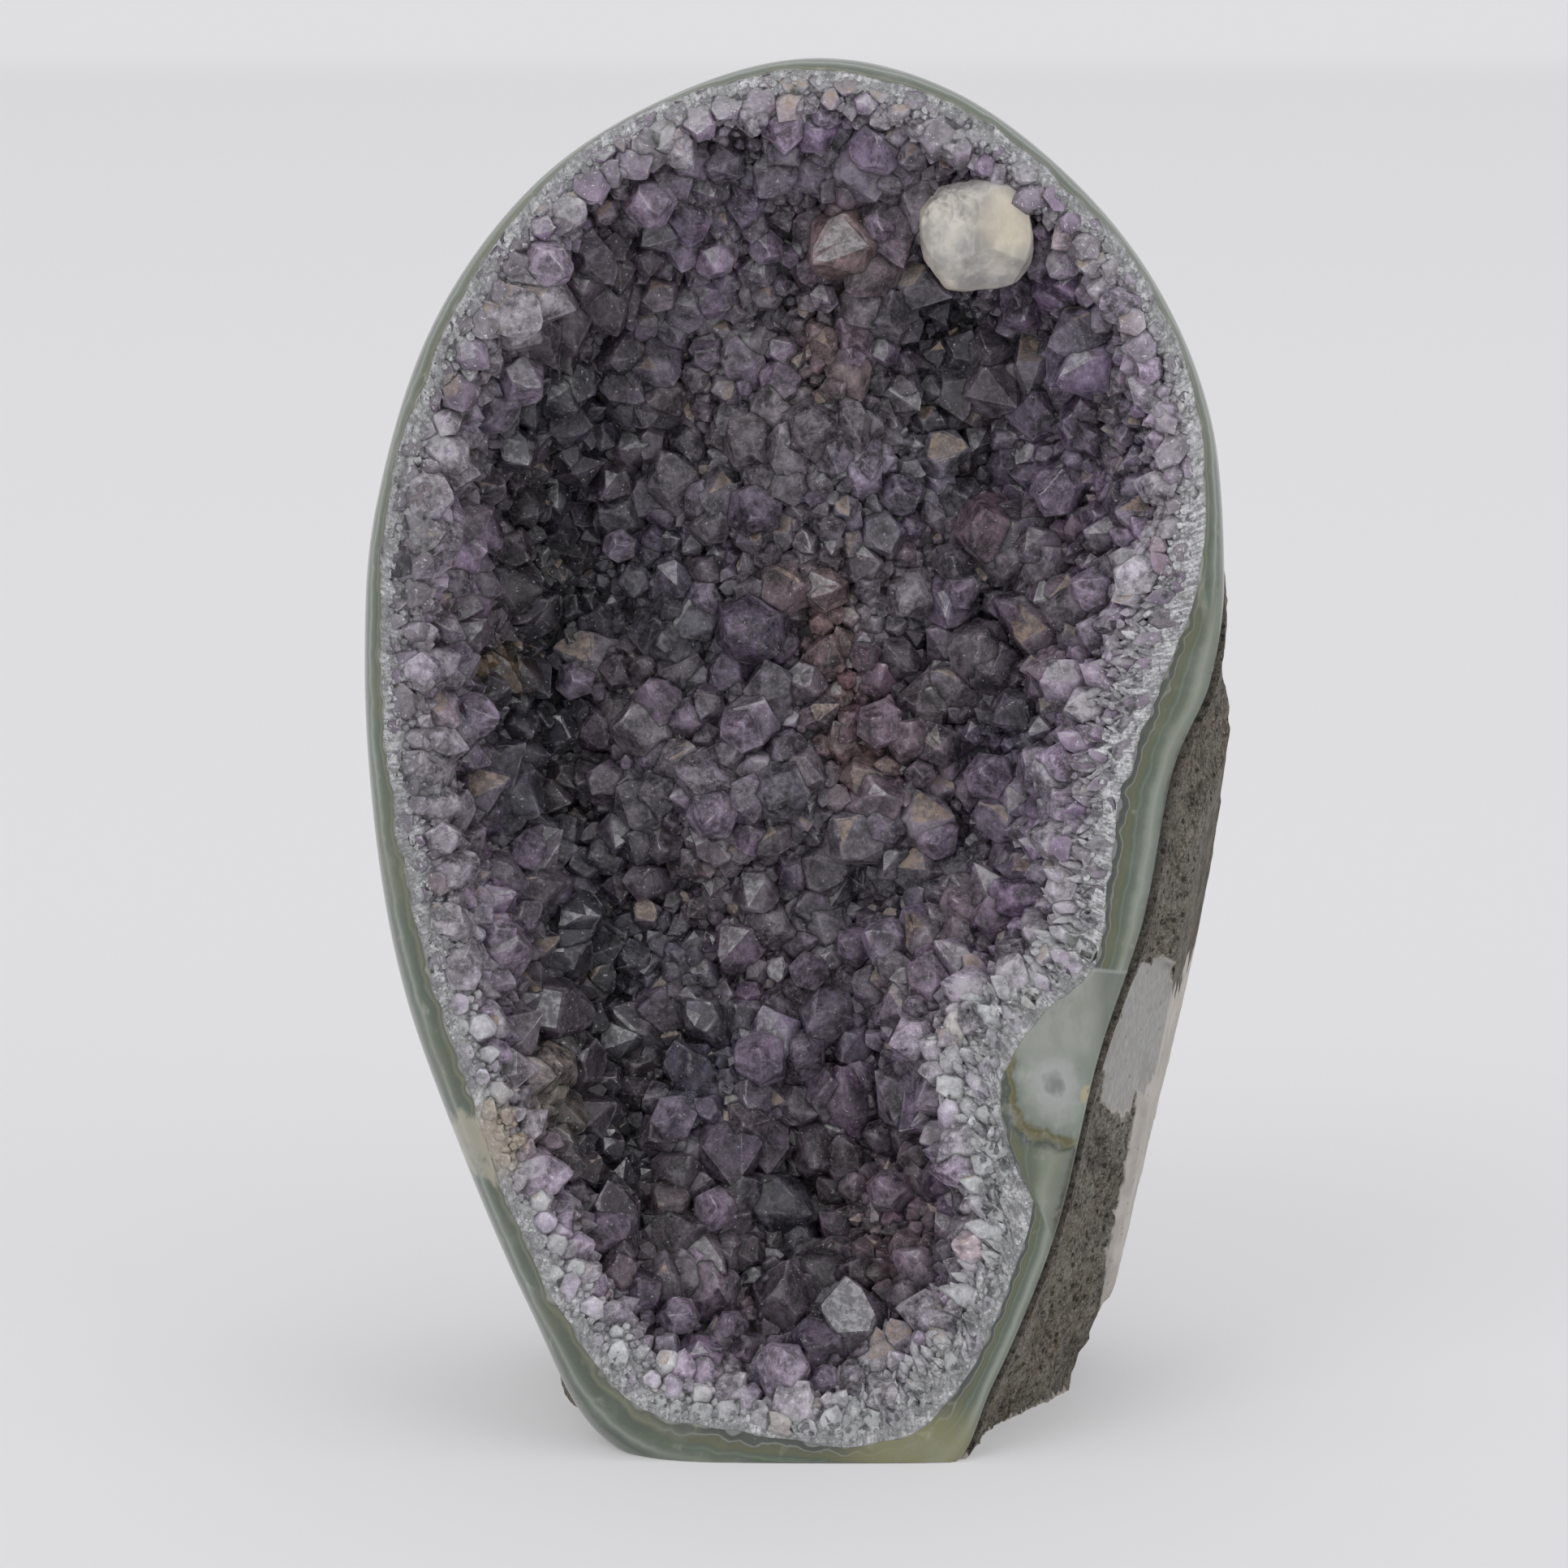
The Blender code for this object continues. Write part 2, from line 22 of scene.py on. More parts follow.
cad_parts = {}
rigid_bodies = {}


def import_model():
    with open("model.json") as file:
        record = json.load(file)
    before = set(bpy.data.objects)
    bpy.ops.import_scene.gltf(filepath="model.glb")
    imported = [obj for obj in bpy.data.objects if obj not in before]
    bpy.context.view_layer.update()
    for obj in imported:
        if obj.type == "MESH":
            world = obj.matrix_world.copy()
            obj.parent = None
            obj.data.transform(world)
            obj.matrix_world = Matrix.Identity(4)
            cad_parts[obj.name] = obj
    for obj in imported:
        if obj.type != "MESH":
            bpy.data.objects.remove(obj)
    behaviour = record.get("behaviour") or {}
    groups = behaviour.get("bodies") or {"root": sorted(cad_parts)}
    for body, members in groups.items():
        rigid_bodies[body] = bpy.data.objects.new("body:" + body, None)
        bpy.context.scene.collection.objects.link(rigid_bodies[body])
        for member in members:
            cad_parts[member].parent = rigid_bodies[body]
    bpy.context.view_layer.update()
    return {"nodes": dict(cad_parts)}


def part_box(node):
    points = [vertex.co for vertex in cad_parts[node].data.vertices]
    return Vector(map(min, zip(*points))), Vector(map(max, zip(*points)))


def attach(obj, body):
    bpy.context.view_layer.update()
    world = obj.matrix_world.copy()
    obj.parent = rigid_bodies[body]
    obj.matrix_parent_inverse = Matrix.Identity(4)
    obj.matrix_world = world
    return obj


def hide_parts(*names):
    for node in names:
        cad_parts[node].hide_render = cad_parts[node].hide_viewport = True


bl_info = {
    "name": "Amethyst Geode",
    "version": (1, 0, 0),
    "blender": (4, 5, 0),
    "location": "View3D > Sidebar > Geode",
    "description": "Builds a cut amethyst geode, crystal by crystal, and a plain studio round it",
    "category": "Object",
}

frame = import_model()

MM = 0.001

# ---------------------------------------------------------------- the polished face

LEAN = math.radians(8.0)  # the face leans back from the vertical
FRONT_Y = -31.0  # where the face meets the table
BACK_Y = 31.0  # the rear of the rock
HEART = (-1.0, 90.0)  # the point of the face that every outline is measured from
GAP = 0.3  # free space between neighbouring minerals

# Outlines on the face, as (u, v) points of a smooth closed line
FACE_OUTLINE = [
    (17, -2), (24, 9.5), (31.5, 28), (36.5, 49), (42, 66), (45.5, 84), (50, 95), (51.8, 108),
    (50.4, 126), (44, 142), (33.4, 155.4), (19, 166), (2.8, 170), (-14, 166), (-31.1, 155.4),
    (-44, 138), (-51, 116), (-52.5, 97), (-51.4, 77), (-48.4, 59), (-43, 42.5), (-33, 18.5),
    (-23, 1.5), (-4, -3),
]
AGATE_INNER = [
    (11, 2.6), (18.5, 8), (24.5, 18.5), (28.6, 32), (25.2, 40), (24.8, 47), (29.5, 54.5), (36.5, 62),
    (38.8, 80), (44, 94.5), (48.2, 107), (49, 124), (43.2, 141.8), (33, 154), (19, 164), (3, 168.4),
    (-15, 164.6), (-30, 155), (-42, 138), (-49, 118), (-50.2, 99), (-47.8, 74), (-39, 42.5),
    (-30, 21), (-19.5, 7), (-4, 3.2),
]
QUARTZ_INNER = [
    (9, 8), (14.5, 13), (20, 21), (23.5, 31.5), (20.5, 40), (16.5, 48), (22, 56), (30.5, 63),
    (33.5, 80), (36.5, 94), (42, 110), (44.8, 124), (39, 141), (30, 151.5), (16, 160.5), (3, 164.5),
    (-14, 160.5), (-27, 151.5), (-38, 135), (-44.5, 117), (-45.6, 99), (-43.5, 76), (-36, 46),
    (-27, 24), (-15, 10.5), (-2, 6.6),
]

# The nested bowls
BOWL_SHARES = [1.0, 0.985, 0.95, 0.88, 0.77, 0.62, 0.44, 0.23]
BOWL_FLATNESS = 4
BOWL_STEEPNESS = 0.625
AGATE_BACK_DEPTH = 38.5
QUARTZ_BACK_DEPTH = 34.0
DRUSE_BACK_DEPTH = 30.0
DRUSE_DEPTH = 23.0
DRUSE_STEEPNESS = 0.8
DRUSE_RIM_DROP = 0.8
BED_SINK = 1.4  # the visible bed lies this far under the mean level of the crystals

# Swells (+, out of the rock) and pockets (-) of the crystal bed: (u, v, spread u, spread v, height)
RELIEF = [
    (2, 118, 13, 38, 5.0), (-27, 118, 12, 22, -4.0), (-30, 84, 9, 20, -4.5), (-9, 82, 12, 9, 4.5),
    (14, 84, 9, 12, 4.0), (27, 128, 9, 12, -3.0), (32, 108, 9, 14, 3.5), (19, 52, 11, 9, 6.5),
    (-26, 52, 9, 15, -4.0), (-6, 42, 11, 10, 4.0), (2, 29, 4, 12, -5.0), (12, 26, 7, 11, 3.0),
    (-14, 150, 13, 7, 2.5),
]

# The rock
ROLL_ROUNDED = 8.5  # radius of the polished edge round the left side and the top
ROLL_SHARP = 1.2  # radius on the right, where the rock was broken away
FLARE = 18.5  # how far the lower right of the rock spreads behind the face
FLARE_ENDS = (14, -30)
FLARE_BASE = (-116, -90)
FOOT = 3.6  # the same at the lower left
FOOT_ENDS = (-113, -106, -102, -96)
ROCK_TUCK = 2.0
ROCK_LEDGE = 0.9
SPREAD_SHARES = (0.0, 0.62)
TUCK_SHARES = (0.1, 0.6)
LIP = 1.0
ROUGHNESS = 0.9
NOISE_LENGTH = 9.0
STEP_IN = (0.4, 2.6)
STEP_BACK = 1.2
STEP_BACK_ROCK = STEP_BACK + 0.4

# Saw cuts and breaks, as (point, outward normal)
TABLE = ((0, 0, 0), (0, 0, -1))
SIDE_CUT = ((52.1, 20.0, 60.0), (1.0, -0.17, -0.185))
FOOT_CHIP = ((33.5, 0.0, 0.0), (0.85, 0.3, -0.45))

# How finely the pieces are made
ROCK_RAYS, ROCK_RINGS = 500, 120
FACE_RAYS = 600
AGATE_RINGS = 26
QUARTZ_RINGS = 22
BED_RAYS, BED_RINGS = 360, 90


def smooth(low, high, value):
    t = np.clip((value - low) / (high - low), 0.0, 1.0)
    return t * t * (3 - 2 * t)


def closed_line(points, steps=12):
    """Points along a smooth closed line (Catmull-Rom) through the given ones."""
    given = np.array(points, float)
    before, start, end, after = (np.roll(given, -k, axis=0)[:, None, :] for k in (-1, 0, 1, 2))
    t = (np.arange(steps) / steps)[None, :, None]
    line = 0.5 * (
        2 * start
        + (end - before) * t
        + (2 * before - 5 * start + 4 * end - after) * t**2
        + (3 * start - before - 3 * end + after) * t**3
    )
    return line.reshape(-1, 2)


def hill(u, v, at_u, at_v, spread_u, spread_v):
    """1 at a place on the face, falling off smoothly round it."""
    return np.exp(-(((u - at_u) / spread_u) ** 2) - ((v - at_v) / spread_v) ** 2)


def angle_to(u, v):
    """The direction of a face point from the heart."""
    return np.arctan2(v - HEART[1], u - HEART[0])


def from_heart(u, v):
    """Direction and distance of a face point from the heart."""
    return angle_to(u, v), np.hypot(u - HEART[0], v - HEART[1])


def radius_of(points):
    """A function that gives a closed outline's distance from the heart in any direction."""
    angles, radii = from_heart(*closed_line(points).T)
    return lambda angle: np.interp(angle, angles, radii, period=math.tau)


FACE_RADIUS = radius_of(FACE_OUTLINE)
AGATE_RADIUS = radius_of(AGATE_INNER)
QUARTZ_RADIUS = radius_of(QUARTZ_INNER)


def even_directions(count):
    """Directions of points spaced evenly along the face's outline."""
    line = closed_line(FACE_OUTLINE)
    line = np.vstack([line, line[:1]])
    travelled = np.concatenate([[0], np.cumsum(np.hypot(*np.diff(line, axis=0).T))])
    wanted = np.arange(count) * travelled[-1] / count
    u, v = (np.interp(wanted, travelled, line[:, axis]) for axis in (0, 1))
    return angle_to(u, v)


def degrees_of(angle):
    return np.degrees(np.remainder(angle + math.pi, math.tau) - math.pi)


def arc(angle, start, full, fade, end):
    """1 from one direction to another, in degrees, and 0 round the rest, with soft ends."""
    degrees = degrees_of(angle)
    return smooth(start, full, degrees) * (1 - smooth(fade, end, degrees))


def right_side(angle):
    """1 along the right side of the face, where the rock is broken, and 0 round the rest."""
    return arc(angle, -112, -88, 4, 30)


def face_depth(angle, radius):
    """How far the polished surface has rolled back from the face's plane."""
    roll = ROLL_ROUNDED + (ROLL_SHARP - ROLL_ROUNDED) * right_side(angle)
    inside = np.clip(FACE_RADIUS(angle) - radius, 0.0, roll)
    return roll - np.sqrt(np.maximum(0.0, roll**2 - (roll - inside) ** 2))


def on_rays(angle, radius, depth):
    """Places (u, v, w) at a distance from the heart in each direction."""
    angle, radius, depth = np.broadcast_arrays(angle, radius, depth)
    return np.stack(
        [HEART[0] + radius * np.cos(angle), HEART[1] + radius * np.sin(angle), depth], axis=-1
    )


def to_world(places):
    """Millimetres in the object's frame, for (u, v, w) places."""
    u, v, w = np.moveaxis(places, -1, 0)
    y = FRONT_Y + v * math.sin(LEAN) + w * math.cos(LEAN)
    z = v * math.cos(LEAN) - w * math.sin(LEAN)
    return np.stack([u, y, z], axis=-1)


def to_face(points):
    """(u, v, w) places of points in the object's frame, in millimetres."""
    x, y, z = np.moveaxis(points, -1, 0)
    y = y - FRONT_Y
    v = y * math.sin(LEAN) + z * math.cos(LEAN)
    w = y * math.cos(LEAN) - z * math.sin(LEAN)
    return np.stack([x, v, w], axis=-1)


def at_places(pattern, places, size, seed):
    """A pattern's value at each place, with features of a size in millimetres."""
    shift = Vector((seed * 7.3, seed * 3.1, seed * 5.7))
    values = [pattern(Vector(place) + shift) for place in places.reshape(-1, 3) / size]
    return np.array(values).reshape(places.shape[:-1])


def fractal(place, octaves):
    return noise.fractal(place, 0.9, 2.0, octaves)


def clouds(places, size, seed, octaves=3):
    """Smooth noise between about -1 and 1 at each place."""
    return at_places(lambda place: fractal(place, octaves), places, size, seed)


def grains(places, size, seed):
    """0 in the middle of each of many scattered grains, 1 at its edge."""
    nearest = at_places(lambda place: noise.voronoi(place)[0][0], places, size, seed)
    return np.clip(nearest, 0.0, 1.0)


def scallops(angle):
    """The small waves of the border between agate and quartz, in millimetres."""
    around = np.stack([np.cos(angle), np.sin(angle), np.zeros_like(angle)], axis=-1) * 60
    return 0.45 * clouds(around, 3.4, 11, 2) + 0.35 * clouds(around, 9.0, 12, 1)


def agate_border(angle):
    return AGATE_RADIUS(angle) + scallops(angle)


# ---------------------------------------------------------------- meshes


def bowl_depth(share, start, deepest):
    """Depth of a bowl at a share of the way from its middle to its rim."""
    return start + (deepest - start) * (1 - np.minimum(1.0, share) ** BOWL_FLATNESS) ** BOWL_STEEPNESS


def bowl_rings(angle, radius, deepest, start_below=0.0):
    """Rings of a bowl from its rim to near its middle."""
    start = face_depth(angle, radius) + start_below
    return [on_rays(angle, radius * s, bowl_depth(s, start, deepest)) for s in BOWL_SHARES]


def stepped_bowl(angle, deepest, grow):
    """The surface between agate and rock: from the polished outline in, then back."""
    side = 1 - right_side(angle)
    wall = FACE_RADIUS(angle) - (STEP_IN[0] + (STEP_IN[1] - STEP_IN[0]) * side) + grow
    start = face_depth(angle, FACE_RADIUS(angle)) + STEP_BACK * side + grow
    return [on_rays(angle, wall * s, bowl_depth(s, start, deepest + grow)) for s in BOWL_SHARES]


def pole(depth):
    """The place that a bowl closes at, behind the heart of the face."""
    return np.array([HEART[0], HEART[1], depth])


def place_piece(made, name, material, replaced=()):
    """Names a finished piece, gives it its material and puts it in the frame."""
    made.name = made.data.name = name
    made.data.materials.clear()
    made.data.materials.append(material)
    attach(made, "root")
    if replaced:
        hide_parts(*replaced)
    return made


def new_object(name, data):
    made = bpy.data.objects.new(name, data)
    bpy.context.scene.collection.objects.link(made)
    return made


def object_of(bm, name):
    """An object from an edited mesh, which is freed."""
    mesh = bpy.data.meshes.new(name)
    bm.to_mesh(mesh)
    bm.free()
    return new_object(name, mesh)


def set_marks(mesh, marks):
    """Stores named values for each point: numbers, vectors or colours."""
    for name, values in marks.items():
        values = np.asarray(values, np.float32)
        kind, field = "FLOAT", "value"
        if name in ("fibre", "lean"):
            kind, field = "FLOAT_VECTOR", "vector"
        elif values.ndim == 2:
            kind, field = "FLOAT_COLOR", "color"
            values = np.c_[values, np.ones(len(values), np.float32)]
        mesh.attributes.new(name, kind, "POINT").data.foreach_set(field, values.ravel())


def mesh_object(name, points, faces, marks=None):
    """An object from points in millimetres, faces, and named values for each point."""
    mesh = bpy.data.meshes.new(name)
    mesh.from_pydata((np.asarray(points) * MM).tolist(), [], faces)
    set_marks(mesh, marks or {})
    mesh.validate()
    return new_object(name, mesh)


def ring_faces(rings, rays, poles=(True, True)):
    """Quads between rings and triangles at the poles. Point 0 is the first pole, the last the other."""
    first = 1 if poles[0] else 0
    ring = np.arange(rays)
    following = (ring + 1) % rays
    faces = []
    for row in range(rings - 1):
        a = first + row * rays
        b = a + rays
        faces += np.stack([a + ring, a + following, b + following, b + ring], axis=1).tolist()
    last = first + rings * rays
    if poles[0]:
        faces += [[0, first + j, first + i] for i, j in zip(ring.tolist(), following.tolist())]
    if poles[1]:
        a = first + (rings - 1) * rays
        faces += [[last, a + i, a + j] for i, j in zip(ring.tolist(), following.tolist())]
    return faces


def closed_body(name, first, rings, last, marks=None):
    """A closed body from one pole over its rings to the other, with its faces outwards."""
    rays = len(rings[0])
    points = np.vstack([first[None], *rings, last[None]])
    made = mesh_object(name, points, ring_faces(len(rings), rays), marks(points) if marks else None)
    bm = bmesh.new()
    bm.from_mesh(made.data)
    bmesh.ops.recalc_face_normals(bm, faces=bm.faces)
    bm.to_mesh(made.data)
    bm.free()
    return made


def shade(made, degrees):
    made.data.shade_smooth()
    made.data.set_sharp_from_angle(angle=math.radians(degrees))


# ---------------------------------------------------------------- node trees


class Socket:
    """One output of a node. Arithmetic on it adds Math nodes."""

    def __init__(self, board, output):
        self.board = board
        self.output = output

    def maths(self, operation, *values):
        return self.board.node("ShaderNodeMath", {"operation": operation}, dict(enumerate(values)))

    def __add__(self, other):
        return self.maths("ADD", self, other)

    __radd__ = __add__

    def __sub__(self, other):
        return self.maths("SUBTRACT", self, other)

    def __rsub__(self, other):
        return self.maths("SUBTRACT", other, self)

    def __mul__(self, other):
        return self.maths("MULTIPLY", self, other)

    __rmul__ = __mul__

    def __truediv__(self, other):
        return self.maths("DIVIDE", self, other)

    def __rtruediv__(self, other):
        return self.maths("DIVIDE", other, self)

    def __pow__(self, other):
        return self.maths("POWER", self, other)

    def also(self, name):
        """Another output of the same node."""
        return Socket(self.board, self.output.node.outputs[name])


class Board:
    """A node tree that is being built."""

    def __init__(self, tree):
        self.tree = tree
        tree.nodes.clear()

    def node(self, kind, settings=None, inputs=None, output=0):
        """Adds a node, sets it up, fills its inputs, and returns one of its outputs."""
        made = self.tree.nodes.new(kind)
        for name, value in (settings or {}).items():
            if name == "stops":
                ramp = made.color_ramp.elements
                while len(ramp) < len(value):
                    ramp.new(1.0)
                for stop, (position, colour) in zip(ramp, value):
                    stop.position = position
                    stop.color = (*colour, 1)
            else:
                setattr(made, name, value)
        for name, value in (inputs or {}).items():
            if isinstance(value, Socket):
                self.tree.links.new(value.output, made.inputs[name])
            else:
                made.inputs[name].default_value = value
        return Socket(self, made.outputs[output]) if made.outputs else None

    def mark(self, name, output="Fac"):
        """A named value of the mesh."""
        return self.node("ShaderNodeAttribute", {"attribute_name": name}, output=output)

    def blend(self, factor, first, second, kind="MIX"):
        """A mix of two colours."""
        first, second = (c if isinstance(c, Socket) else (*c, 1) for c in (first, second))
        settings = {"data_type": "RGBA", "blend_type": kind}
        return self.node("ShaderNodeMix", settings, {0: factor, 6: first, 7: second}, output=2)

    def over(self, colour, *layers):
        """Colours laid one over another, each given as (how much of it shows, colour)."""
        for amount, tone in layers:
            colour = self.blend(amount, colour, tone)
        return colour

    def ramp(self, stops, value):
        return self.node("ShaderNodeValToRGB", {"stops": stops}, {0: value})

    def vector(self, operation, first, second, output=0):
        """Vector maths. Output 1 is the number of a distance or a dot product."""
        settings = {"operation": operation}
        return self.node("ShaderNodeVectorMath", settings, {0: first, 1: second}, output=output)

    def between(self, low, high, value):
        """0 below low, 1 above high, and a smooth step between."""
        settings = {"interpolation_type": "SMOOTHSTEP"}
        inputs = {"Value": value, "From Min": low, "From Max": high}
        return self.node("ShaderNodeMapRange", settings, inputs)

    def millimetres(self, stretch=(1, 1, 1), shift=(0, 0, 0)):
        """The place on the object, in millimetres."""
        place = self.node("ShaderNodeTexCoord", output="Object")
        scale = tuple(value / MM for value in stretch)
        return self.node("ShaderNodeMapping", None, {"Vector": place, "Scale": scale, "Location": shift})

    def cloud(self, place, size, detail=2.0, roughness=0.55):
        """Noise with features of a size in millimetres."""
        inputs = {"Vector": place, "Scale": 1 / size, "Detail": detail, "Roughness": roughness}
        return self.node("ShaderNodeTexNoise", None, inputs)

    def cells(self, place, size, feature="F1", output="Distance"):
        inputs = {"Vector": place, "Scale": 1 / size}
        return self.node("ShaderNodeTexVoronoi", {"feature": feature}, inputs, output=output)

    def bump(self, height, depth, strength=1.0, normal=None):
        """A bump whose full height is a depth in millimetres."""
        inputs = {"Height": height, "Distance": depth * MM, "Strength": strength}
        if normal:
            inputs["Normal"] = normal
        return self.node("ShaderNodeBump", None, inputs)

    def finish(self, **inputs):
        """Ends a material in a Principled surface."""
        named = {name.replace("_", " "): value for name, value in inputs.items()}
        surface = self.node("ShaderNodeBsdfPrincipled", None, named)
        self.node("ShaderNodeOutputMaterial", None, {"Surface": surface})


def new_material(name):
    made = bpy.data.materials.get(name) or bpy.data.materials.new(name)
    made.use_nodes = True
    return made, Board(made.node_tree)


# ---------------------------------------------------------------- host rock

GROUND_SPOT = (42.4, 50.8, 11.6)  # (u, v, w) of a small flat where the flank was ground
GROUND_REACH = (9.0, 7.5)  # its reach up the flank and into the rock
GROUND_NORMAL = (0.83, -0.5, -0.16)
FACET_MARGIN = 1.3  # rock this close to the sawn side is smoothed too
FACET_TOP = 51.0  # the sawn side is hidden under broken rock above this height
RIM_SHADE = 0.6  # painted shade on the rock where it meets the agate, for the shadowed gap between them


def rock_ring(angle, scale, share):
    """A ring of the rock's broken outside, before the saw cuts."""
    degrees = degrees_of(angle)
    right = right_side(angle)
    spread = FLARE * smooth(*FLARE_ENDS, degrees) * smooth(*FLARE_BASE, degrees)
    spread = spread + FOOT * smooth(*FOOT_ENDS[:2], degrees) * (1 - smooth(*FOOT_ENDS[2:], degrees))
    rim = FACE_RADIUS(angle) + LIP * right - ROCK_LEDGE * (1 - right)
    tuck = ROCK_TUCK * (1 - right) * smooth(*TUCK_SHARES, share)
    radius = (rim + spread * smooth(*SPREAD_SHARES, share) - tuck) * scale
    height = HEART[1] + radius * np.sin(angle)
    thickness = (BACK_Y - FRONT_Y - height * math.sin(LEAN)) / math.cos(LEAN)
    start = face_depth(angle, FACE_RADIUS(angle)) + GAP + STEP_BACK_ROCK * (1 - right)
    depth = start + (thickness - start) * share
    places = on_rays(angle, radius, depth) / NOISE_LENGTH
    uneven = np.array([noise.noise(Vector(place)) for place in places])
    uneven = ROUGHNESS * smooth(0.0, 0.2, share) * uneven
    return on_rays(angle, radius + uneven * 2, depth + uneven)


def rock_profile(count):
    """(scale, share of the depth) of rings spaced evenly from the rim to the back's middle."""
    share = np.sin(np.linspace(0.0, math.pi / 2, 400)) ** 1.5
    scale = (1 - share**6) ** (1 / 3)
    length = np.concatenate([[0], np.cumsum(np.hypot(np.diff(scale) * 65, np.diff(share) * 55))])
    wanted = np.linspace(0.0, length[-1] * 0.995, count)
    return list(zip(np.interp(wanted, length, scale), np.interp(wanted, length, share)))


def outward_of(grid):
    """Unit normals of a (rings, rays) grid of points, away from its inside."""
    along = np.gradient(grid, axis=0)
    around = (np.roll(grid, -1, axis=1) - np.roll(grid, 1, axis=1)) / 2
    normal = np.cross(around, along)
    normal /= np.maximum(1e-9, np.linalg.norm(normal, axis=-1, keepdims=True))
    middle = grid.reshape(-1, 3).mean(0)
    facing = np.sum(normal * (grid - middle), axis=-1).mean()
    return normal if facing > 0 else -normal


def cut(points, plane):
    """Points moved back onto a plane where they pass it, and how far each one moved."""
    point, outward = (np.array(value, float) for value in plane)
    outward = outward / np.linalg.norm(outward)
    past = np.maximum(0.0, (points - point) @ outward)
    return points - past[..., None] * outward, past


def above_table(rings):
    """Rings of face places in the object's frame, with none of them under the table."""
    return [cut(to_world(ring), TABLE)[0] for ring in rings]


def rock_surface():
    """The rock's outside: its directions, its points, and where it is sawn, ground or hollow."""
    angle = even_directions(ROCK_RAYS)
    profile = rock_profile(ROCK_RINGS)
    grid = to_world(np.array([rock_ring(angle, scale, share) for scale, share in profile]))
    grid = cut(grid, FOOT_CHIP)[0]
    normal = outward_of(grid)
    shares = np.array([share for _, share in profile])[:, None]
    broken = smooth(0.0, 0.05, shares)
    behind = smooth(0.2, 0.6, shares)
    lumps = 0.55 * clouds(grid, 5.0, 1, 4) + 0.28 * clouds(grid, 1.6, 2, 3)
    lumps = lumps + behind * (1.1 * clouds(grid, 13.0, 7, 3) - 0.7 * np.abs(clouds(grid, 7.0, 8, 2)))
    chips = -0.8 * smooth(0.5, 0.05, grains(grid, 2.6, 3)) * smooth(-0.2, 0.4, clouds(grid, 6.0, 4, 2))
    # Painted shade: low is how deep each point lies among the lumps and chips, for darker hollows
    low = np.clip(0.5 - lumps * 0.6 - chips, 0, 1)
    grid = grid + normal * ((lumps + chips) * broken)[..., None]

    face = to_face(grid)
    spot = np.array(GROUND_SPOT)
    slope = face[..., 1] - spot[1] + (face[..., 2] - spot[2]) * 0.3
    near = (slope / GROUND_REACH[0]) ** 2 + ((face[..., 2] - spot[2]) / GROUND_REACH[1]) ** 2
    near = smooth(1.12, 0.97, near + 0.42 * clouds(grid, 3.5, 5, 4)) * (grid[..., 0] > 20)
    outward = np.array(GROUND_NORMAL) / np.linalg.norm(GROUND_NORMAL)
    proud = (grid - to_world(spot)) @ outward + 0.5
    grid = grid - (proud * near)[..., None] * outward
    ground = near * smooth(2.5, 1.5, np.abs(proud))
    nearly = grid + np.array(SIDE_CUT[1]) / np.linalg.norm(SIDE_CUT[1]) * FACET_MARGIN
    side = cut(nearly, SIDE_CUT)[1]
    grid = cut(grid, SIDE_CUT)[0]
    side = side * smooth(FACET_TOP, FACET_TOP - 4, grid[..., 2] + 3 * clouds(grid, 5.0, 6, 2))
    grid, base = cut(grid, TABLE)
    sawn = np.clip(np.maximum(side, base) / 0.25, 0, 1)
    return angle, grid, sawn, ground, low


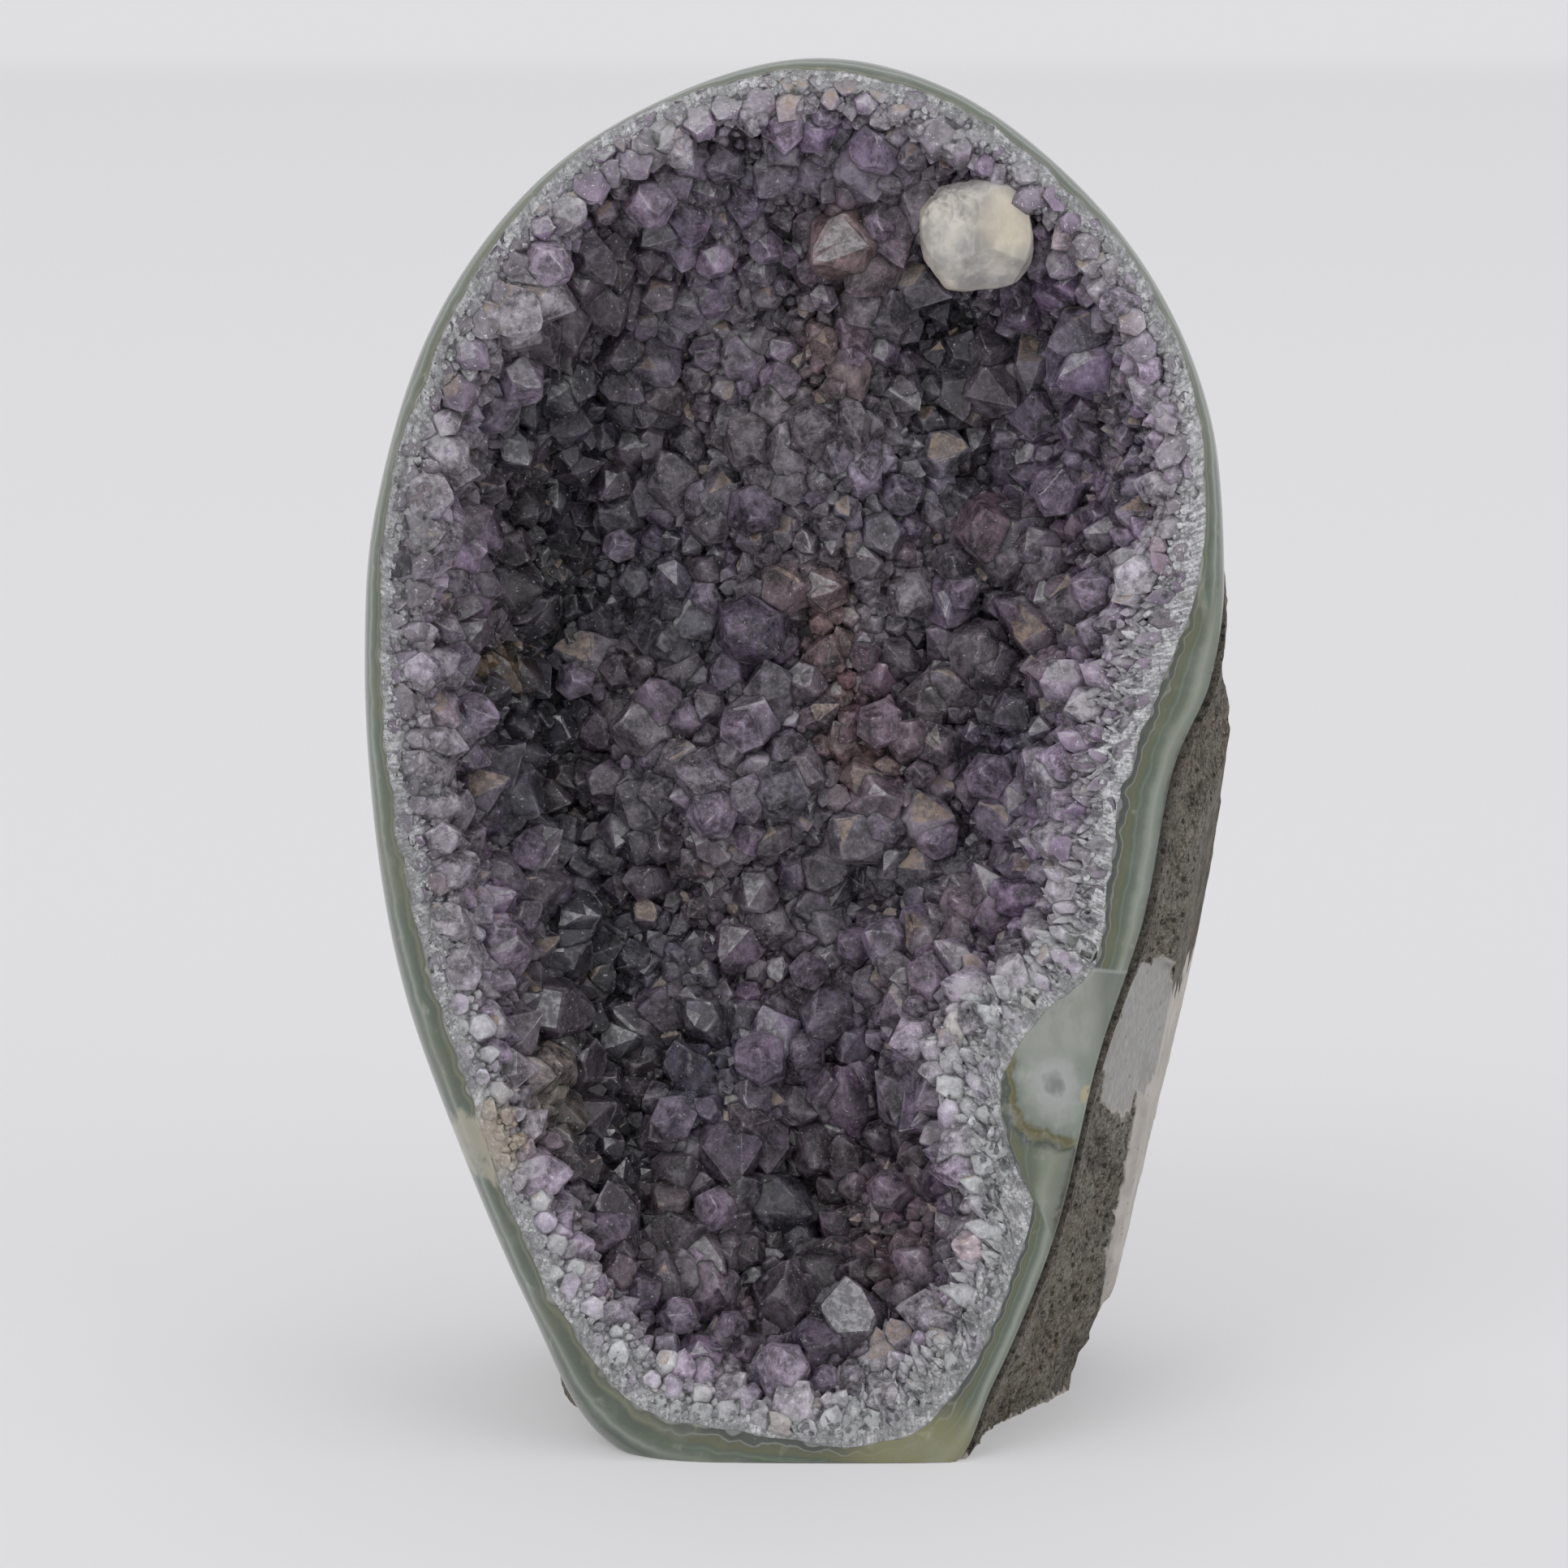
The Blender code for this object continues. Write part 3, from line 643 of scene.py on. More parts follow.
def basalt_material():
    """Broken basalt where the rock is rough, and paler where it is sawn or ground; painted shade darkens
    its hollows, pores, the low parts of its grit and its border with the agate.
    """
    made, board = new_material("basalt")
    look = bpy.context.scene.geode_colours
    place = board.millimetres()
    upright = board.millimetres((1, 1, 0.9))
    sawn, ground = board.mark("sawn"), board.mark("ground")
    ragged = board.cloud(place, 1.2, 3.0) - 0.5
    worked = board.between(0.1, 0.7, sawn + ground + ragged * 0.9)
    tone = board.cloud(place, 6.0, 4.0)
    skin = board.cloud(place, 16.0, 5.0, 0.6)
    rust = board.cloud(place, 3.0, 3.0)
    grit_and_shade = board.cloud(upright, 1.0, 6.0, 0.85)
    sand = board.cloud(place, 0.3, 2.0)
    pores = board.cells(upright, 1.5) + grit_and_shade * 0.5
    # Painted shade: the pores and the low parts of the grit are painted dark, where shade falls in them
    shaded_pore = 1 - board.between(0.38, 0.52, pores)
    rock = board.over(
        board.blend(board.between(0.35, 0.65, tone), look.basalt_dark, look.basalt),
        (board.between(0.48, 0.62, skin) * 0.55, (0.27, 0.2, 0.125)),
        ((1 - board.between(0.36, 0.46, skin)) * 0.5, (0.34, 0.33, 0.31)),
        (board.between(0.52, 0.7, rust) * 0.5, (0.21, 0.155, 0.09)),
        (board.between(0.5, 0.64, grit_and_shade) * 0.8, (0.47, 0.44, 0.38)),
        (board.between(0.54, 0.66, sand) * 0.7, (0.62, 0.57, 0.48)),
        ((1 - board.between(0.32, 0.44, sand)) * 0.6, (0.06, 0.052, 0.042)),
        # painted shade in the low parts of the grit and in the pores
        ((1 - board.between(0.38, 0.5, grit_and_shade)) * 0.95, (0.03, 0.026, 0.02)),
        (shaded_pore * 0.8, (0.02, 0.018, 0.014)),
        # painted shade in the rock's hollows
        (board.between(0.5, 1.0, board.mark("low")) * 0.45, (0.05, 0.043, 0.034)),
        # painted shade in the gap by the agate
        (board.mark("rim") * 0.6, (0.03, 0.03, 0.027)),
    )
    smudge = board.cloud(place, 5.0, 3.0)
    beige = board.blend(board.between(0.35, 0.7, smudge), (0.38, 0.35, 0.31), look.sawn_rock)
    scratch = board.cloud(board.millimetres((1, 1, 0.07)), 0.22, 2.0)
    beige = board.blend(board.between(0.55, 0.75, scratch) * 0.4, beige, (0.25, 0.23, 0.2))
    worn = board.between(0.45, 0.65, scratch) * 0.6
    grey = board.blend(worn, (0.3, 0.295, 0.285), (0.47, 0.465, 0.455))
    grey = board.blend(board.between(0.5, 0.65, smudge) * 0.4, grey, (0.24, 0.225, 0.2))
    pit = board.between(0.66, 0.74, board.cloud(place, 1.6, 2.0))
    flat = board.blend(board.between(0.3, 0.9, ground), beige, grey)
    flat = board.blend(pit * 0.8, flat, look.basalt_dark)
    colour = board.blend(worked, rock, flat)
    normal = board.bump(grit_and_shade - shaded_pore, 1.2, 1.0)
    smooth_cut = board.bump(scratch - pit, 0.05, 0.5)
    mixed = board.node(
        "ShaderNodeMix", {"data_type": "VECTOR"}, {0: worked, 4: normal, 5: smooth_cut}, output=1
    )
    board.finish(Base_Color=colour, Roughness=0.9 - worked * 0.35, Normal=mixed)
    return made


class GEODE_OT_host_rock(bpy.types.Operator):
    """Make the broken basalt round the geode, with its sawn base and side"""

    bl_idname = "geode.host_rock"
    bl_label = "Host Rock"

    def execute(self, context):
        angle, grid, sawn, ground, low = rock_surface()
        inside = above_table(stepped_bowl(angle, AGATE_BACK_DEPTH, GAP))
        first = grid[-1].mean(0)
        last = to_world(pole(AGATE_BACK_DEPTH + GAP))
        rings = list(grid[::-1]) + inside
        hidden = np.zeros(len(inside) * len(angle) + 1)
        # Painted shade: the rock's first ring by the agate is darkened, and its hidden inside fully
        rim = np.zeros_like(sawn)
        rim[0] = RIM_SHADE
        outside = {"rim": rim, "sawn": sawn, "ground": ground, "low": low}

        def marks(points):
            return {
                name: np.concatenate([[0], values[::-1].ravel(), hidden + (name == "rim")])
                for name, values in outside.items()
            }

        made = closed_body("host_rock_broken", first, rings, last, marks)
        shade(made, 60)
        place_piece(made, "host_rock_broken", basalt_material(), ["host_rock"])
        return {"FINISHED"}


# ---------------------------------------------------------------- agate

LOBE = (31.3, 46.0)  # the round agate eye at the lower right (u, v)
LOBE_SIZE = 6.6
CREAM_SPOT = (4.2, -0.6, -1.0)  # a pitted cream spot, in the object's frame from the eye's middle
STAIN = (-38.0, 38.5)  # a cream stain over the left rim
# From the quartz to the rock: (share of the way, colour)
WIDE_BANDS = [  # along the broken side
    (0.0, (0.20, 0.21, 0.2)), (0.04, (0.05, 0.058, 0.05)), (0.15, (0.066, 0.075, 0.062)),
    (0.18, (0.22, 0.235, 0.2)), (0.2, (0.1, 0.105, 0.07)), (0.29, (0.115, 0.12, 0.062)),
    (0.36, (0.085, 0.108, 0.078)), (0.43, (0.135, 0.165, 0.12)), (0.46, (0.09, 0.115, 0.085)),
    (0.56, (0.12, 0.145, 0.11)), (0.66, (0.22, 0.25, 0.205)), (0.74, (0.27, 0.295, 0.25)),
    # From 0.965 on, the bands are painted shade of the gap by the rock
    (0.82, (0.2, 0.225, 0.19)), (0.92, (0.15, 0.17, 0.145)), (0.965, (0.05, 0.055, 0.047)),
    (1.0, (0.03, 0.033, 0.028)),
]
NARROW_BANDS = [  # round the rest
    (0.0, (0.28, 0.29, 0.26)), (0.06, (0.1, 0.108, 0.08)), (0.16, (0.17, 0.175, 0.12)),
    (0.26, (0.08, 0.1, 0.074)), (0.42, (0.095, 0.125, 0.088)), (0.52, (0.15, 0.18, 0.142)),
    (0.6, (0.27, 0.295, 0.255)), (0.68, (0.12, 0.15, 0.12)), (0.76, (0.075, 0.095, 0.075)),
    (0.84, (0.14, 0.16, 0.135)), (0.92, (0.1, 0.12, 0.1)), (1.0, (0.24, 0.26, 0.235)),
]
EYE_RINGS = [  # from the middle of the eye
    (0.0, (0.17, 0.18, 0.175)), (0.12, (0.2, 0.21, 0.205)), (0.24, (0.36, 0.375, 0.36)),
    (0.42, (0.33, 0.345, 0.325)), (0.6, (0.25, 0.275, 0.24)), (0.76, (0.17, 0.2, 0.165)),
    (0.84, (0.1, 0.085, 0.03)), (0.9, (0.15, 0.14, 0.07)), (0.96, (0.05, 0.065, 0.05)),
    (1.0, (0.06, 0.075, 0.06)),
]


def agate_marks(points):
    """Where each point lies between quartz and rock, for the bands."""
    u, v, _ = np.moveaxis(to_face(points), -1, 0)
    angle, radius = from_heart(u, v)
    inner, outer = agate_border(angle), FACE_RADIUS(angle)
    return {
        "across": np.clip((radius - inner) / (outer - inner), 0, 1.2),
        "broken_side": right_side(angle),
        "stain": smooth(6.5, 2.0, np.hypot((u - STAIN[0]) * 0.8, v - STAIN[1])),
        "bottom": smooth(13.0, 4.0, np.hypot(u - 15.0, (v - 1.0) * 1.6)),
    }


def agate_material():
    """Banded agate: its bands run from the quartz to the rock, round an eye and a stain."""
    made, board = new_material("agate")
    look = bpy.context.scene.geode_colours
    place = board.millimetres()
    waves = board.cloud(place, 2.2, 3.0) - 0.5
    slow = board.cloud(place, 8.0, 2.0) - 0.5
    across = board.mark("across")
    knobs = board.cells(place, 1.9, "SMOOTH_F1") - 0.4
    knobs = knobs * (1 - board.between(0.12, 0.5, across)) * 0.28
    across = across + waves * 0.12 + slow * 0.16 + knobs
    broken_side = board.mark("broken_side")
    bands = board.ramp(NARROW_BANDS, across), board.ramp(WIDE_BANDS, across)
    colour = board.blend(board.between(0.3, 0.8, broken_side), *bands)
    tint = board.cloud(place, 12.0, 2.0)
    stain = board.between(0.25, 0.95, board.mark("stain") + waves * 2.4)
    milk = board.cloud(place, 5.0, 4.0)
    colour = board.over(
        colour,
        (board.between(0.45, 0.75, tint) * 0.4, look.agate_olive),
        (board.mark("bottom") * 0.75, (0.24, 0.235, 0.115)),
        (stain * 0.7, (0.46, 0.43, 0.34)),
        (board.between(0.5, 0.8, milk) * 0.3, look.agate_pale),
    )

    # The eye: uneven rings round its middle, taller than wide
    middle = to_world(np.array([LOBE[0], LOBE[1], 0.0]))
    shifted = board.vector("SUBTRACT", place, tuple(middle))
    parts = board.node("ShaderNodeSeparateXYZ", None, {"Vector": shifted})
    x, z = parts.also("X"), parts.also("Z")
    reach = (x * x + z * z * 0.75) ** 0.5 / LOBE_SIZE + waves * 0.38 + slow * 0.45
    eye = board.ramp(EYE_RINGS, reach)
    streaks = board.cloud(board.millimetres((1, 1, 0.5)), 1.6, 4.0, 0.6)
    eye = board.blend(board.between(0.45, 0.75, streaks) * 0.45, eye, (0.42, 0.43, 0.41))
    calm = board.blend(board.between(0.4, 0.8, reach), eye, (0.2, 0.235, 0.195))
    left = 1 - board.between(-2.5, 3.0, x + z * 0.5)
    inside = 1 - board.between(0.96, 1.1, reach)
    colour = board.blend(inside, colour, board.blend(left, calm, eye))
    above = board.between(2.0, 5.5, z) * (1 - board.between(14.3, 14.8, z + x * 0.1 + waves * 0.8))
    pale = board.blend(board.between(3.5, 6.5, x), (0.32, 0.335, 0.3), (0.15, 0.175, 0.145))
    pale = board.blend(board.between(0.4, 0.7, streaks) * 0.4, pale, (0.2, 0.225, 0.185))
    above = above * board.between(-6.5, -4.5, x) * broken_side
    crack = board.between(14.1, 14.4, z + x * 0.1) - board.between(14.5, 14.8, z + x * 0.1)
    crack = crack * board.between(0.5, 2.0, x) * broken_side
    cream = board.vector("DISTANCE", shifted, CREAM_SPOT, 1)
    cream = 1 - board.between(0.9, 1.7, cream + waves * 2.0)
    speck = board.between(0.62, 0.66, board.cloud(place, 0.7, 1.0))
    fine = board.cloud(place, 0.35, 3.0)
    colour = board.over(
        colour,
        (above * 0.9, pale),
        (crack * 0.4, (0.42, 0.43, 0.4)),
        (cream * 0.85, (0.42, 0.37, 0.22)),
        (cream * speck, (0.08, 0.055, 0.03)),
        (board.between(0.6, 0.8, fine) * 0.14, (0.4, 0.42, 0.38)),
    )
    normal = board.bump(board.cloud(place, 3.0, 2.0), 0.05, 0.4)
    board.finish(Base_Color=colour, Roughness=0.12 + fine * 0.2, Coat_Weight=0.4, Coat_Roughness=0.05,
                 Normal=normal)
    return made


class GEODE_OT_agate(bpy.types.Operator):
    """Make the polished agate rind round the hollow"""

    bl_idname = "geode.agate"
    bl_label = "Agate Rind"

    def execute(self, context):
        angle = even_directions(FACE_RAYS)
        inner, outer = agate_border(angle), FACE_RADIUS(angle)
        polished = []
        for t in np.linspace(0.0, 1.0, AGATE_RINGS):
            radius = inner + (outer - inner) * (1 - (1 - t) ** 1.7)
            polished.append(on_rays(angle, radius, face_depth(angle, radius)))
        back = stepped_bowl(angle, AGATE_BACK_DEPTH, 0.0)
        hollow = bowl_rings(angle, inner, QUARTZ_BACK_DEPTH + GAP)[1:]
        rings = above_table(back[::-1] + polished[::-1] + hollow)
        ends = to_world(pole(AGATE_BACK_DEPTH)), to_world(pole(QUARTZ_BACK_DEPTH + GAP))
        made = closed_body("agate_rind_polished", ends[0], rings, ends[1], agate_marks)
        shade(made, 40)
        place_piece(made, "agate_rind_polished", agate_material(), ["agate_rind"])
        return {"FINISHED"}


# ---------------------------------------------------------------- crystal shapes

PRISM_FACES = 6
BED_FORMS, RIM_FORMS = 12, 9  # how many shapes of crystal are made for each layer
SHOULDERS = (0.25, 0.8)  # how high the tips of scattered crystals start
RHOMB_SLOPE = math.radians(51.8)  # how far a tip face's normal leans from the crystal's axis


PARALLEL = 1e-4  # three planes with a smaller determinant meet in no point
TOUCH = 1e-6  # a corner may lie this far outside a plane


def convex_solid(planes):
    """The convex body inside planes, each given as (outward normal, distance)."""
    normals = np.array([normal for normal, _ in planes])
    distances = np.array([distance for _, distance in planes])
    bm = bmesh.new()
    for trio in combinations(range(len(planes)), 3):
        three = normals[list(trio)]
        if abs(np.linalg.det(three)) < PARALLEL:
            continue
        corner = np.linalg.solve(three, distances[list(trio)])
        if np.all(normals @ corner <= distances + TOUCH):
            bm.verts.new(corner)
    bmesh.ops.remove_doubles(bm, verts=bm.verts, dist=1e-4)
    hull = bmesh.ops.convex_hull(bm, input=bm.verts)
    bmesh.ops.delete(bm, geom=hull["geom_interior"] + hull["geom_unused"], context="VERTS")
    bmesh.ops.dissolve_limit(bm, angle_limit=math.radians(1), verts=bm.verts, edges=bm.edges)
    bmesh.ops.recalc_face_normals(bm, faces=bm.faces)
    return bm


def quartz_solid(pick, shoulder, root=0.8, unevenness=0.14):
    """A six-sided crystal along +Z with an uneven six-faced tip, 1 in radius, foot at -root."""
    planes = [((0, 0, -1), root)]
    apothem = math.cos(math.pi / PRISM_FACES)
    for side in range(PRISM_FACES):
        turn = side * math.tau / PRISM_FACES
        width = apothem * (1 + pick.uniform(-unevenness, unevenness))
        planes.append(((math.cos(turn), math.sin(turn), 0), width))
        lift = math.sin(RHOMB_SLOPE), math.cos(RHOMB_SLOPE)
        normal = (math.cos(turn) * lift[0], math.sin(turn) * lift[0], lift[1])
        high = shoulder + (pick.uniform(0, 0.12) if side % 2 else pick.uniform(0.05, 0.4))
        planes.append((normal, apothem * lift[0] + high * lift[1]))
    return convex_solid(planes)


def soften(bm, worn, pick, rounded=False):
    """Wears a crystal's edges, and marks its facets (1 inside, 0 on an edge) and its tip (1)."""
    facet = bm.verts.layers.float.new("facet")
    tip = bm.verts.layers.float.new("tip")
    edged = bm.verts.layers.float.new("worn")
    if worn:
        bmesh.ops.bevel(
            bm, geom=list(bm.edges), offset=worn, segments=1, affect="EDGES", clamp_overlap=True
        )
        bmesh.ops.remove_doubles(bm, verts=bm.verts, dist=worn * 0.3)
        for v in bm.verts:
            v.co += Vector(pick.uniform(-worn, worn) * 0.4 for _ in range(3))
        wide = [face for face in bm.faces if face.calc_area() > 0.12 and face.normal.z > -0.5]
        for middle in bmesh.ops.poke(bm, faces=wide, center_mode="MEAN_WEIGHTED")["verts"]:
            middle[facet] = 1.0
    top = max(v.co.z for v in bm.verts)
    for v in bm.verts:
        v[tip] = max(0.0, v.co.z / top)
        v[edged] = 1.0 if worn else 0.3
    for face in bm.faces:
        face.smooth = rounded


def crystal_forms(count, seed, worn):
    """A collection of crystal shapes for scattering."""
    pick = random.Random(seed)
    forms = bpy.data.collections.new("crystal_forms")
    for number in range(count):
        bm = quartz_solid(pick, pick.uniform(*SHOULDERS))
        rounded = number % 3 == 0
        soften(bm, worn * (1.3 if rounded else 0.6), pick, rounded and worn > 0)
        mesh = bpy.data.meshes.new(f"form_{number:02d}")
        bm.to_mesh(mesh)
        bm.free()
        forms.objects.link(bpy.data.objects.new(mesh.name, mesh))
    return forms


def scatter_tree():
    """Geometry Nodes that stand crystals on a surface, spaced, turned, tilted and sized at random."""
    tree = bpy.data.node_groups.new("crystal_growth", "GeometryNodeTree")
    sockets = {}
    wanted = [
        ("Geometry", "NodeSocketGeometry"), ("Crystals", "NodeSocketCollection"),
        ("Spacing", "NodeSocketFloat"), ("Smallest", "NodeSocketFloat"), ("Largest", "NodeSocketFloat"),
        ("Tilt", "NodeSocketFloat"), ("Seed", "NodeSocketInt"), ("Material", "NodeSocketMaterial"),
    ]
    for name, kind in wanted:
        sockets[name] = tree.interface.new_socket(name, in_out="INPUT", socket_type=kind).identifier
    tree.interface.new_socket("Geometry", in_out="OUTPUT", socket_type="NodeSocketGeometry")
    board = Board(tree)
    given = board.node("NodeGroupInput")
    spacing, seed, tilt = given.also("Spacing"), given.also("Seed"), given.also("Tilt")

    def stored(name, kind="FLOAT"):
        return board.node("GeometryNodeInputNamedAttribute", {"data_type": kind}, {"Name": name})

    spread = board.node(
        "GeometryNodeDistributePointsOnFaces",
        {"distribute_method": "POISSON"},
        {
            "Mesh": given.also("Geometry"), "Distance Min": spacing,
            "Density Max": 4.0 / (spacing * spacing), "Density Factor": 1.0, "Seed": seed,
        },
    )
    small, large = tilt * -1, tilt
    low = board.node("ShaderNodeCombineXYZ", None, {0: small, 1: small, 2: -math.pi})
    high = board.node("ShaderNodeCombineXYZ", None, {0: large, 1: large, 2: math.pi})
    turn = board.node(
        "FunctionNodeRandomValue", {"data_type": "FLOAT_VECTOR"}, {0: low, 1: high, 8: seed + 1}
    )
    turn = board.node("FunctionNodeEulerToRotation", None, {0: turn})
    outward = board.vector("ADD", spread.also("Normal"), stored("lean", "FLOAT_VECTOR"))
    upright = board.node("FunctionNodeAlignRotationToVector", {"axis": "Z"}, {"Vector": outward})
    turned = board.node(
        "FunctionNodeRotateRotation", {"rotation_space": "LOCAL"}, {0: upright, 1: turn}
    )
    size = board.node(
        "FunctionNodeRandomValue", {"data_type": "FLOAT"},
        {2: given.also("Smallest"), 3: given.also("Largest"), 8: seed + 2}, output=1,
    )
    size = size * stored("growth")
    height = size * (1 + stored("stretch"))
    scale = board.node("ShaderNodeCombineXYZ", None, {0: size, 1: size, 2: height})
    forms = board.node(
        "GeometryNodeCollectionInfo", None,
        {"Collection": given.also("Crystals"), "Separate Children": True, "Reset Children": True},
    )
    choice = board.node(
        "FunctionNodeRandomValue", {"data_type": "INT"}, {4: 0, 5: 1000, 8: seed + 3}, output=2
    )
    stood = board.node(
        "GeometryNodeInstanceOnPoints", None,
        {
            "Points": spread.also("Points"), "Instance": forms, "Pick Instance": True,
            "Instance Index": choice, "Rotation": turned, "Scale": scale,
        },
    )
    for name, offset in (("lot", 4), ("lot_two", 5)):
        lot = board.node(
            "FunctionNodeRandomValue", {"data_type": "FLOAT"}, {2: 0.0, 3: 1.0, 8: seed + offset},
            output=1,
        )
        stood = board.node(
            "GeometryNodeStoreNamedAttribute", {"data_type": "FLOAT", "domain": "INSTANCE"},
            {"Geometry": stood, "Name": name, "Value": lot},
        )
    real = board.node("GeometryNodeRealizeInstances", None, {"Geometry": stood})
    finished = board.node(
        "GeometryNodeSetMaterial", None, {"Geometry": real, "Material": given.also("Material")}
    )
    board.node("NodeGroupOutput", None, {"Geometry": finished})
    return tree, sockets


def grow_crystals(ground, name, forms, material, **settings):
    """Scatters crystals over the ground mesh and returns them as one plain mesh."""
    tree, sockets = scatter_tree()
    grown = ground.modifiers.new("growth", "NODES")
    grown.node_group = tree
    settings.update(Crystals=forms, Material=material)
    for label, value in settings.items():
        grown[sockets[label]] = value
    ground.update_tag()
    graph = bpy.context.evaluated_depsgraph_get()
    made = new_object(name, bpy.data.meshes.new_from_object(ground.evaluated_get(graph)))
    ground.modifiers.remove(grown)
    bpy.data.node_groups.remove(tree)
    for form in list(forms.objects):
        bpy.data.objects.remove(form)
    bpy.data.collections.remove(forms)
    return made


TRIM_GAP = 0.15  # crystals end this far short of the agate
TRIM_DEPTH = 0.03  # and this far behind the sawn face


def trim_to_face(made):
    """Flattens crystals where they pass the sawn face, and keeps them off the agate."""
    mesh = made.data
    points = np.empty(len(mesh.vertices) * 3, np.float32)
    mesh.vertices.foreach_get("co", points)
    places = to_face(points.reshape(-1, 3).astype(float) / MM)
    angle, radius = from_heart(places[:, 0], places[:, 1])
    radius = np.minimum(radius, agate_border(angle) - TRIM_GAP)
    depth = np.maximum(places[:, 2], face_depth(angle, radius) + TRIM_DEPTH)
    trimmed = to_world(on_rays(angle, radius, depth)) * MM
    mesh.vertices.foreach_set("co", trimmed.astype(np.float32).ravel())
    mesh.update()


def grow_layer(ground, name, forms, material, spacing, smallest, largest, tilt, seed):
    """Grows one layer of crystals as a piece. Its sizes are shares of its spacing."""
    grown = grow_crystals(
        ground, name, forms, material, Spacing=spacing, Smallest=spacing * smallest,
        Largest=spacing * largest, Tilt=tilt, Seed=seed,
    )
    trim_to_face(grown)
    place_piece(grown, name, material)


# ---------------------------------------------------------------- colours of the crystal bed

SMOKE = (0.137, 0.12, 0.146)
BLACK = (0.024, 0.024, 0.028)
LILAC = (0.29, 0.238, 0.31)
PLUM = (0.165, 0.127, 0.185)
PINK_BROWN = (0.20, 0.125, 0.115)
FROST = (0.36, 0.34, 0.37)
ASH = (0.2, 0.187, 0.205)
OCHRE = (0.27, 0.17, 0.075)
TAN = (0.50, 0.43, 0.33)
WHITE = (0.56, 0.56, 0.58)

# Where the crystals differ from the smoky rest, and spots of painted shade: (u, v, spread u, spread v,
# colour, strength)
TINTS = [
    # BLACK in the pockets of the bed and down its left side is painted shade
    (-6, 24, 26, 30, BLACK, 0.36), (-28, 42, 10, 24, BLACK, 0.35), (6, 13, 9, 7, BLACK, 0.55),
    (2, 152, 12, 8, LILAC, 0.3), (-2, 130, 15, 18, ASH, 0.6), (-9, 82, 11, 17, ASH, 0.5),
    (4, 64, 9, 9, ASH, 0.3), (-20, 96, 10, 30, ASH, 0.3),
    (-31, 44, 7, 12, BLACK, 0.6), (-25, 26, 7, 9, BLACK, 0.5), (-20, 14, 6, 5, BLACK, 0.3),
    (-30, 120, 9, 30, BLACK, 0.75), (-32, 92, 9, 16, BLACK, 0.8), (-27, 58, 8, 20, BLACK, 0.75),
    (-14, 158, 5, 3.5, BLACK, 0.7), (-22, 148, 5, 5, BLACK, 0.7), (18, 137, 7, 8, BLACK, 0.8),
    (22, 124, 4, 8, BLACK, 0.7), (2, 30, 4, 8, BLACK, 0.9), (8, 10, 6, 5, BLACK, 0.7),
    (2, 70, 8, 4, BLACK, 0.5), (25, 34, 4, 6, BLACK, 0.5), (13, 96, 4, 6, BLACK, 0.45),
    (-22, 34, 6, 8, BLACK, 0.6), (-28, 20, 5, 6, BLACK, 0.4), (26, 100, 4, 8, BLACK, 0.4),
    (-18.8, 157.4, 6, 4, LILAC, 0.85), (-9.9, 146, 4, 4, PLUM, 0.9), (33, 118, 6, 8, PLUM, 0.9),
    (38, 95, 5, 6, LILAC, 0.8), (-7, 88, 5, 4, LILAC, 0.6), (-9.9, 79, 4, 4, LILAC, 0.8),
    (23.5, 81.8, 6, 5, PLUM, 0.9), (16.6, 49.4, 8, 7, LILAC, 0.75), (-38.6, 64.3, 4, 6, LILAC, 0.7),
    (-45.3, 111, 3, 6, LILAC, 0.7), (-45.8, 92, 3, 6, LILAC, 0.9), (30.3, 142.7, 5, 5, PLUM, 0.9),
    (42, 105.4, 4, 6, LILAC, 0.7), (-1.6, 9.5, 4, 3, LILAC, 0.9), (5, 46, 10, 7, PLUM, 0.5),
    (30, 71, 5, 7, PLUM, 0.7), (-20, 137, 6, 6, PLUM, 0.45), (12, 28, 8, 8, PINK_BROWN, 0.35),
    (6.4, 148, 4, 6, PINK_BROWN, 0.7), (3.8, 134, 3.5, 6, PINK_BROWN, 0.7),
    (3.5, 101, 3.5, 6, PINK_BROWN, 0.85), (6, 92, 3.5, 6, PINK_BROWN, 0.85),
    (9, 85, 5, 5, PINK_BROWN, 0.7), (-17, 84, 6, 5, FROST, 0.55), (8.7, 120.6, 5, 3, FROST, 0.7),
    (-4, 128, 4, 3, FROST, 0.4), (11.7, 103.4, 5, 4, FROST, 0.35), (5, 140, 2, 2, FROST, 0.8),
    (-26, 97, 3, 2, FROST, 0.6), (-38.2, 96.4, 1.8, 1.8, OCHRE, 0.9), (-43.3, 104, 1.6, 1.2, OCHRE, 0.6),
    (-34, 40, 3.5, 5, TAN, 0.8), (-33, 46, 2.5, 4, TAN, 0.5), (24, 112, 2.5, 4, PINK_BROWN, 0.4),
]
CALCITE_PLACE = (22.0, 148.5)  # (u, v) of the calcite, where the crystals stay small
CALCITE_CLEAR = (4.0, 10.0)  # how far from there they start to grow, and reach their full size
RIM_FROST = 7.0  # how far in from the quartz the crystals stay pale


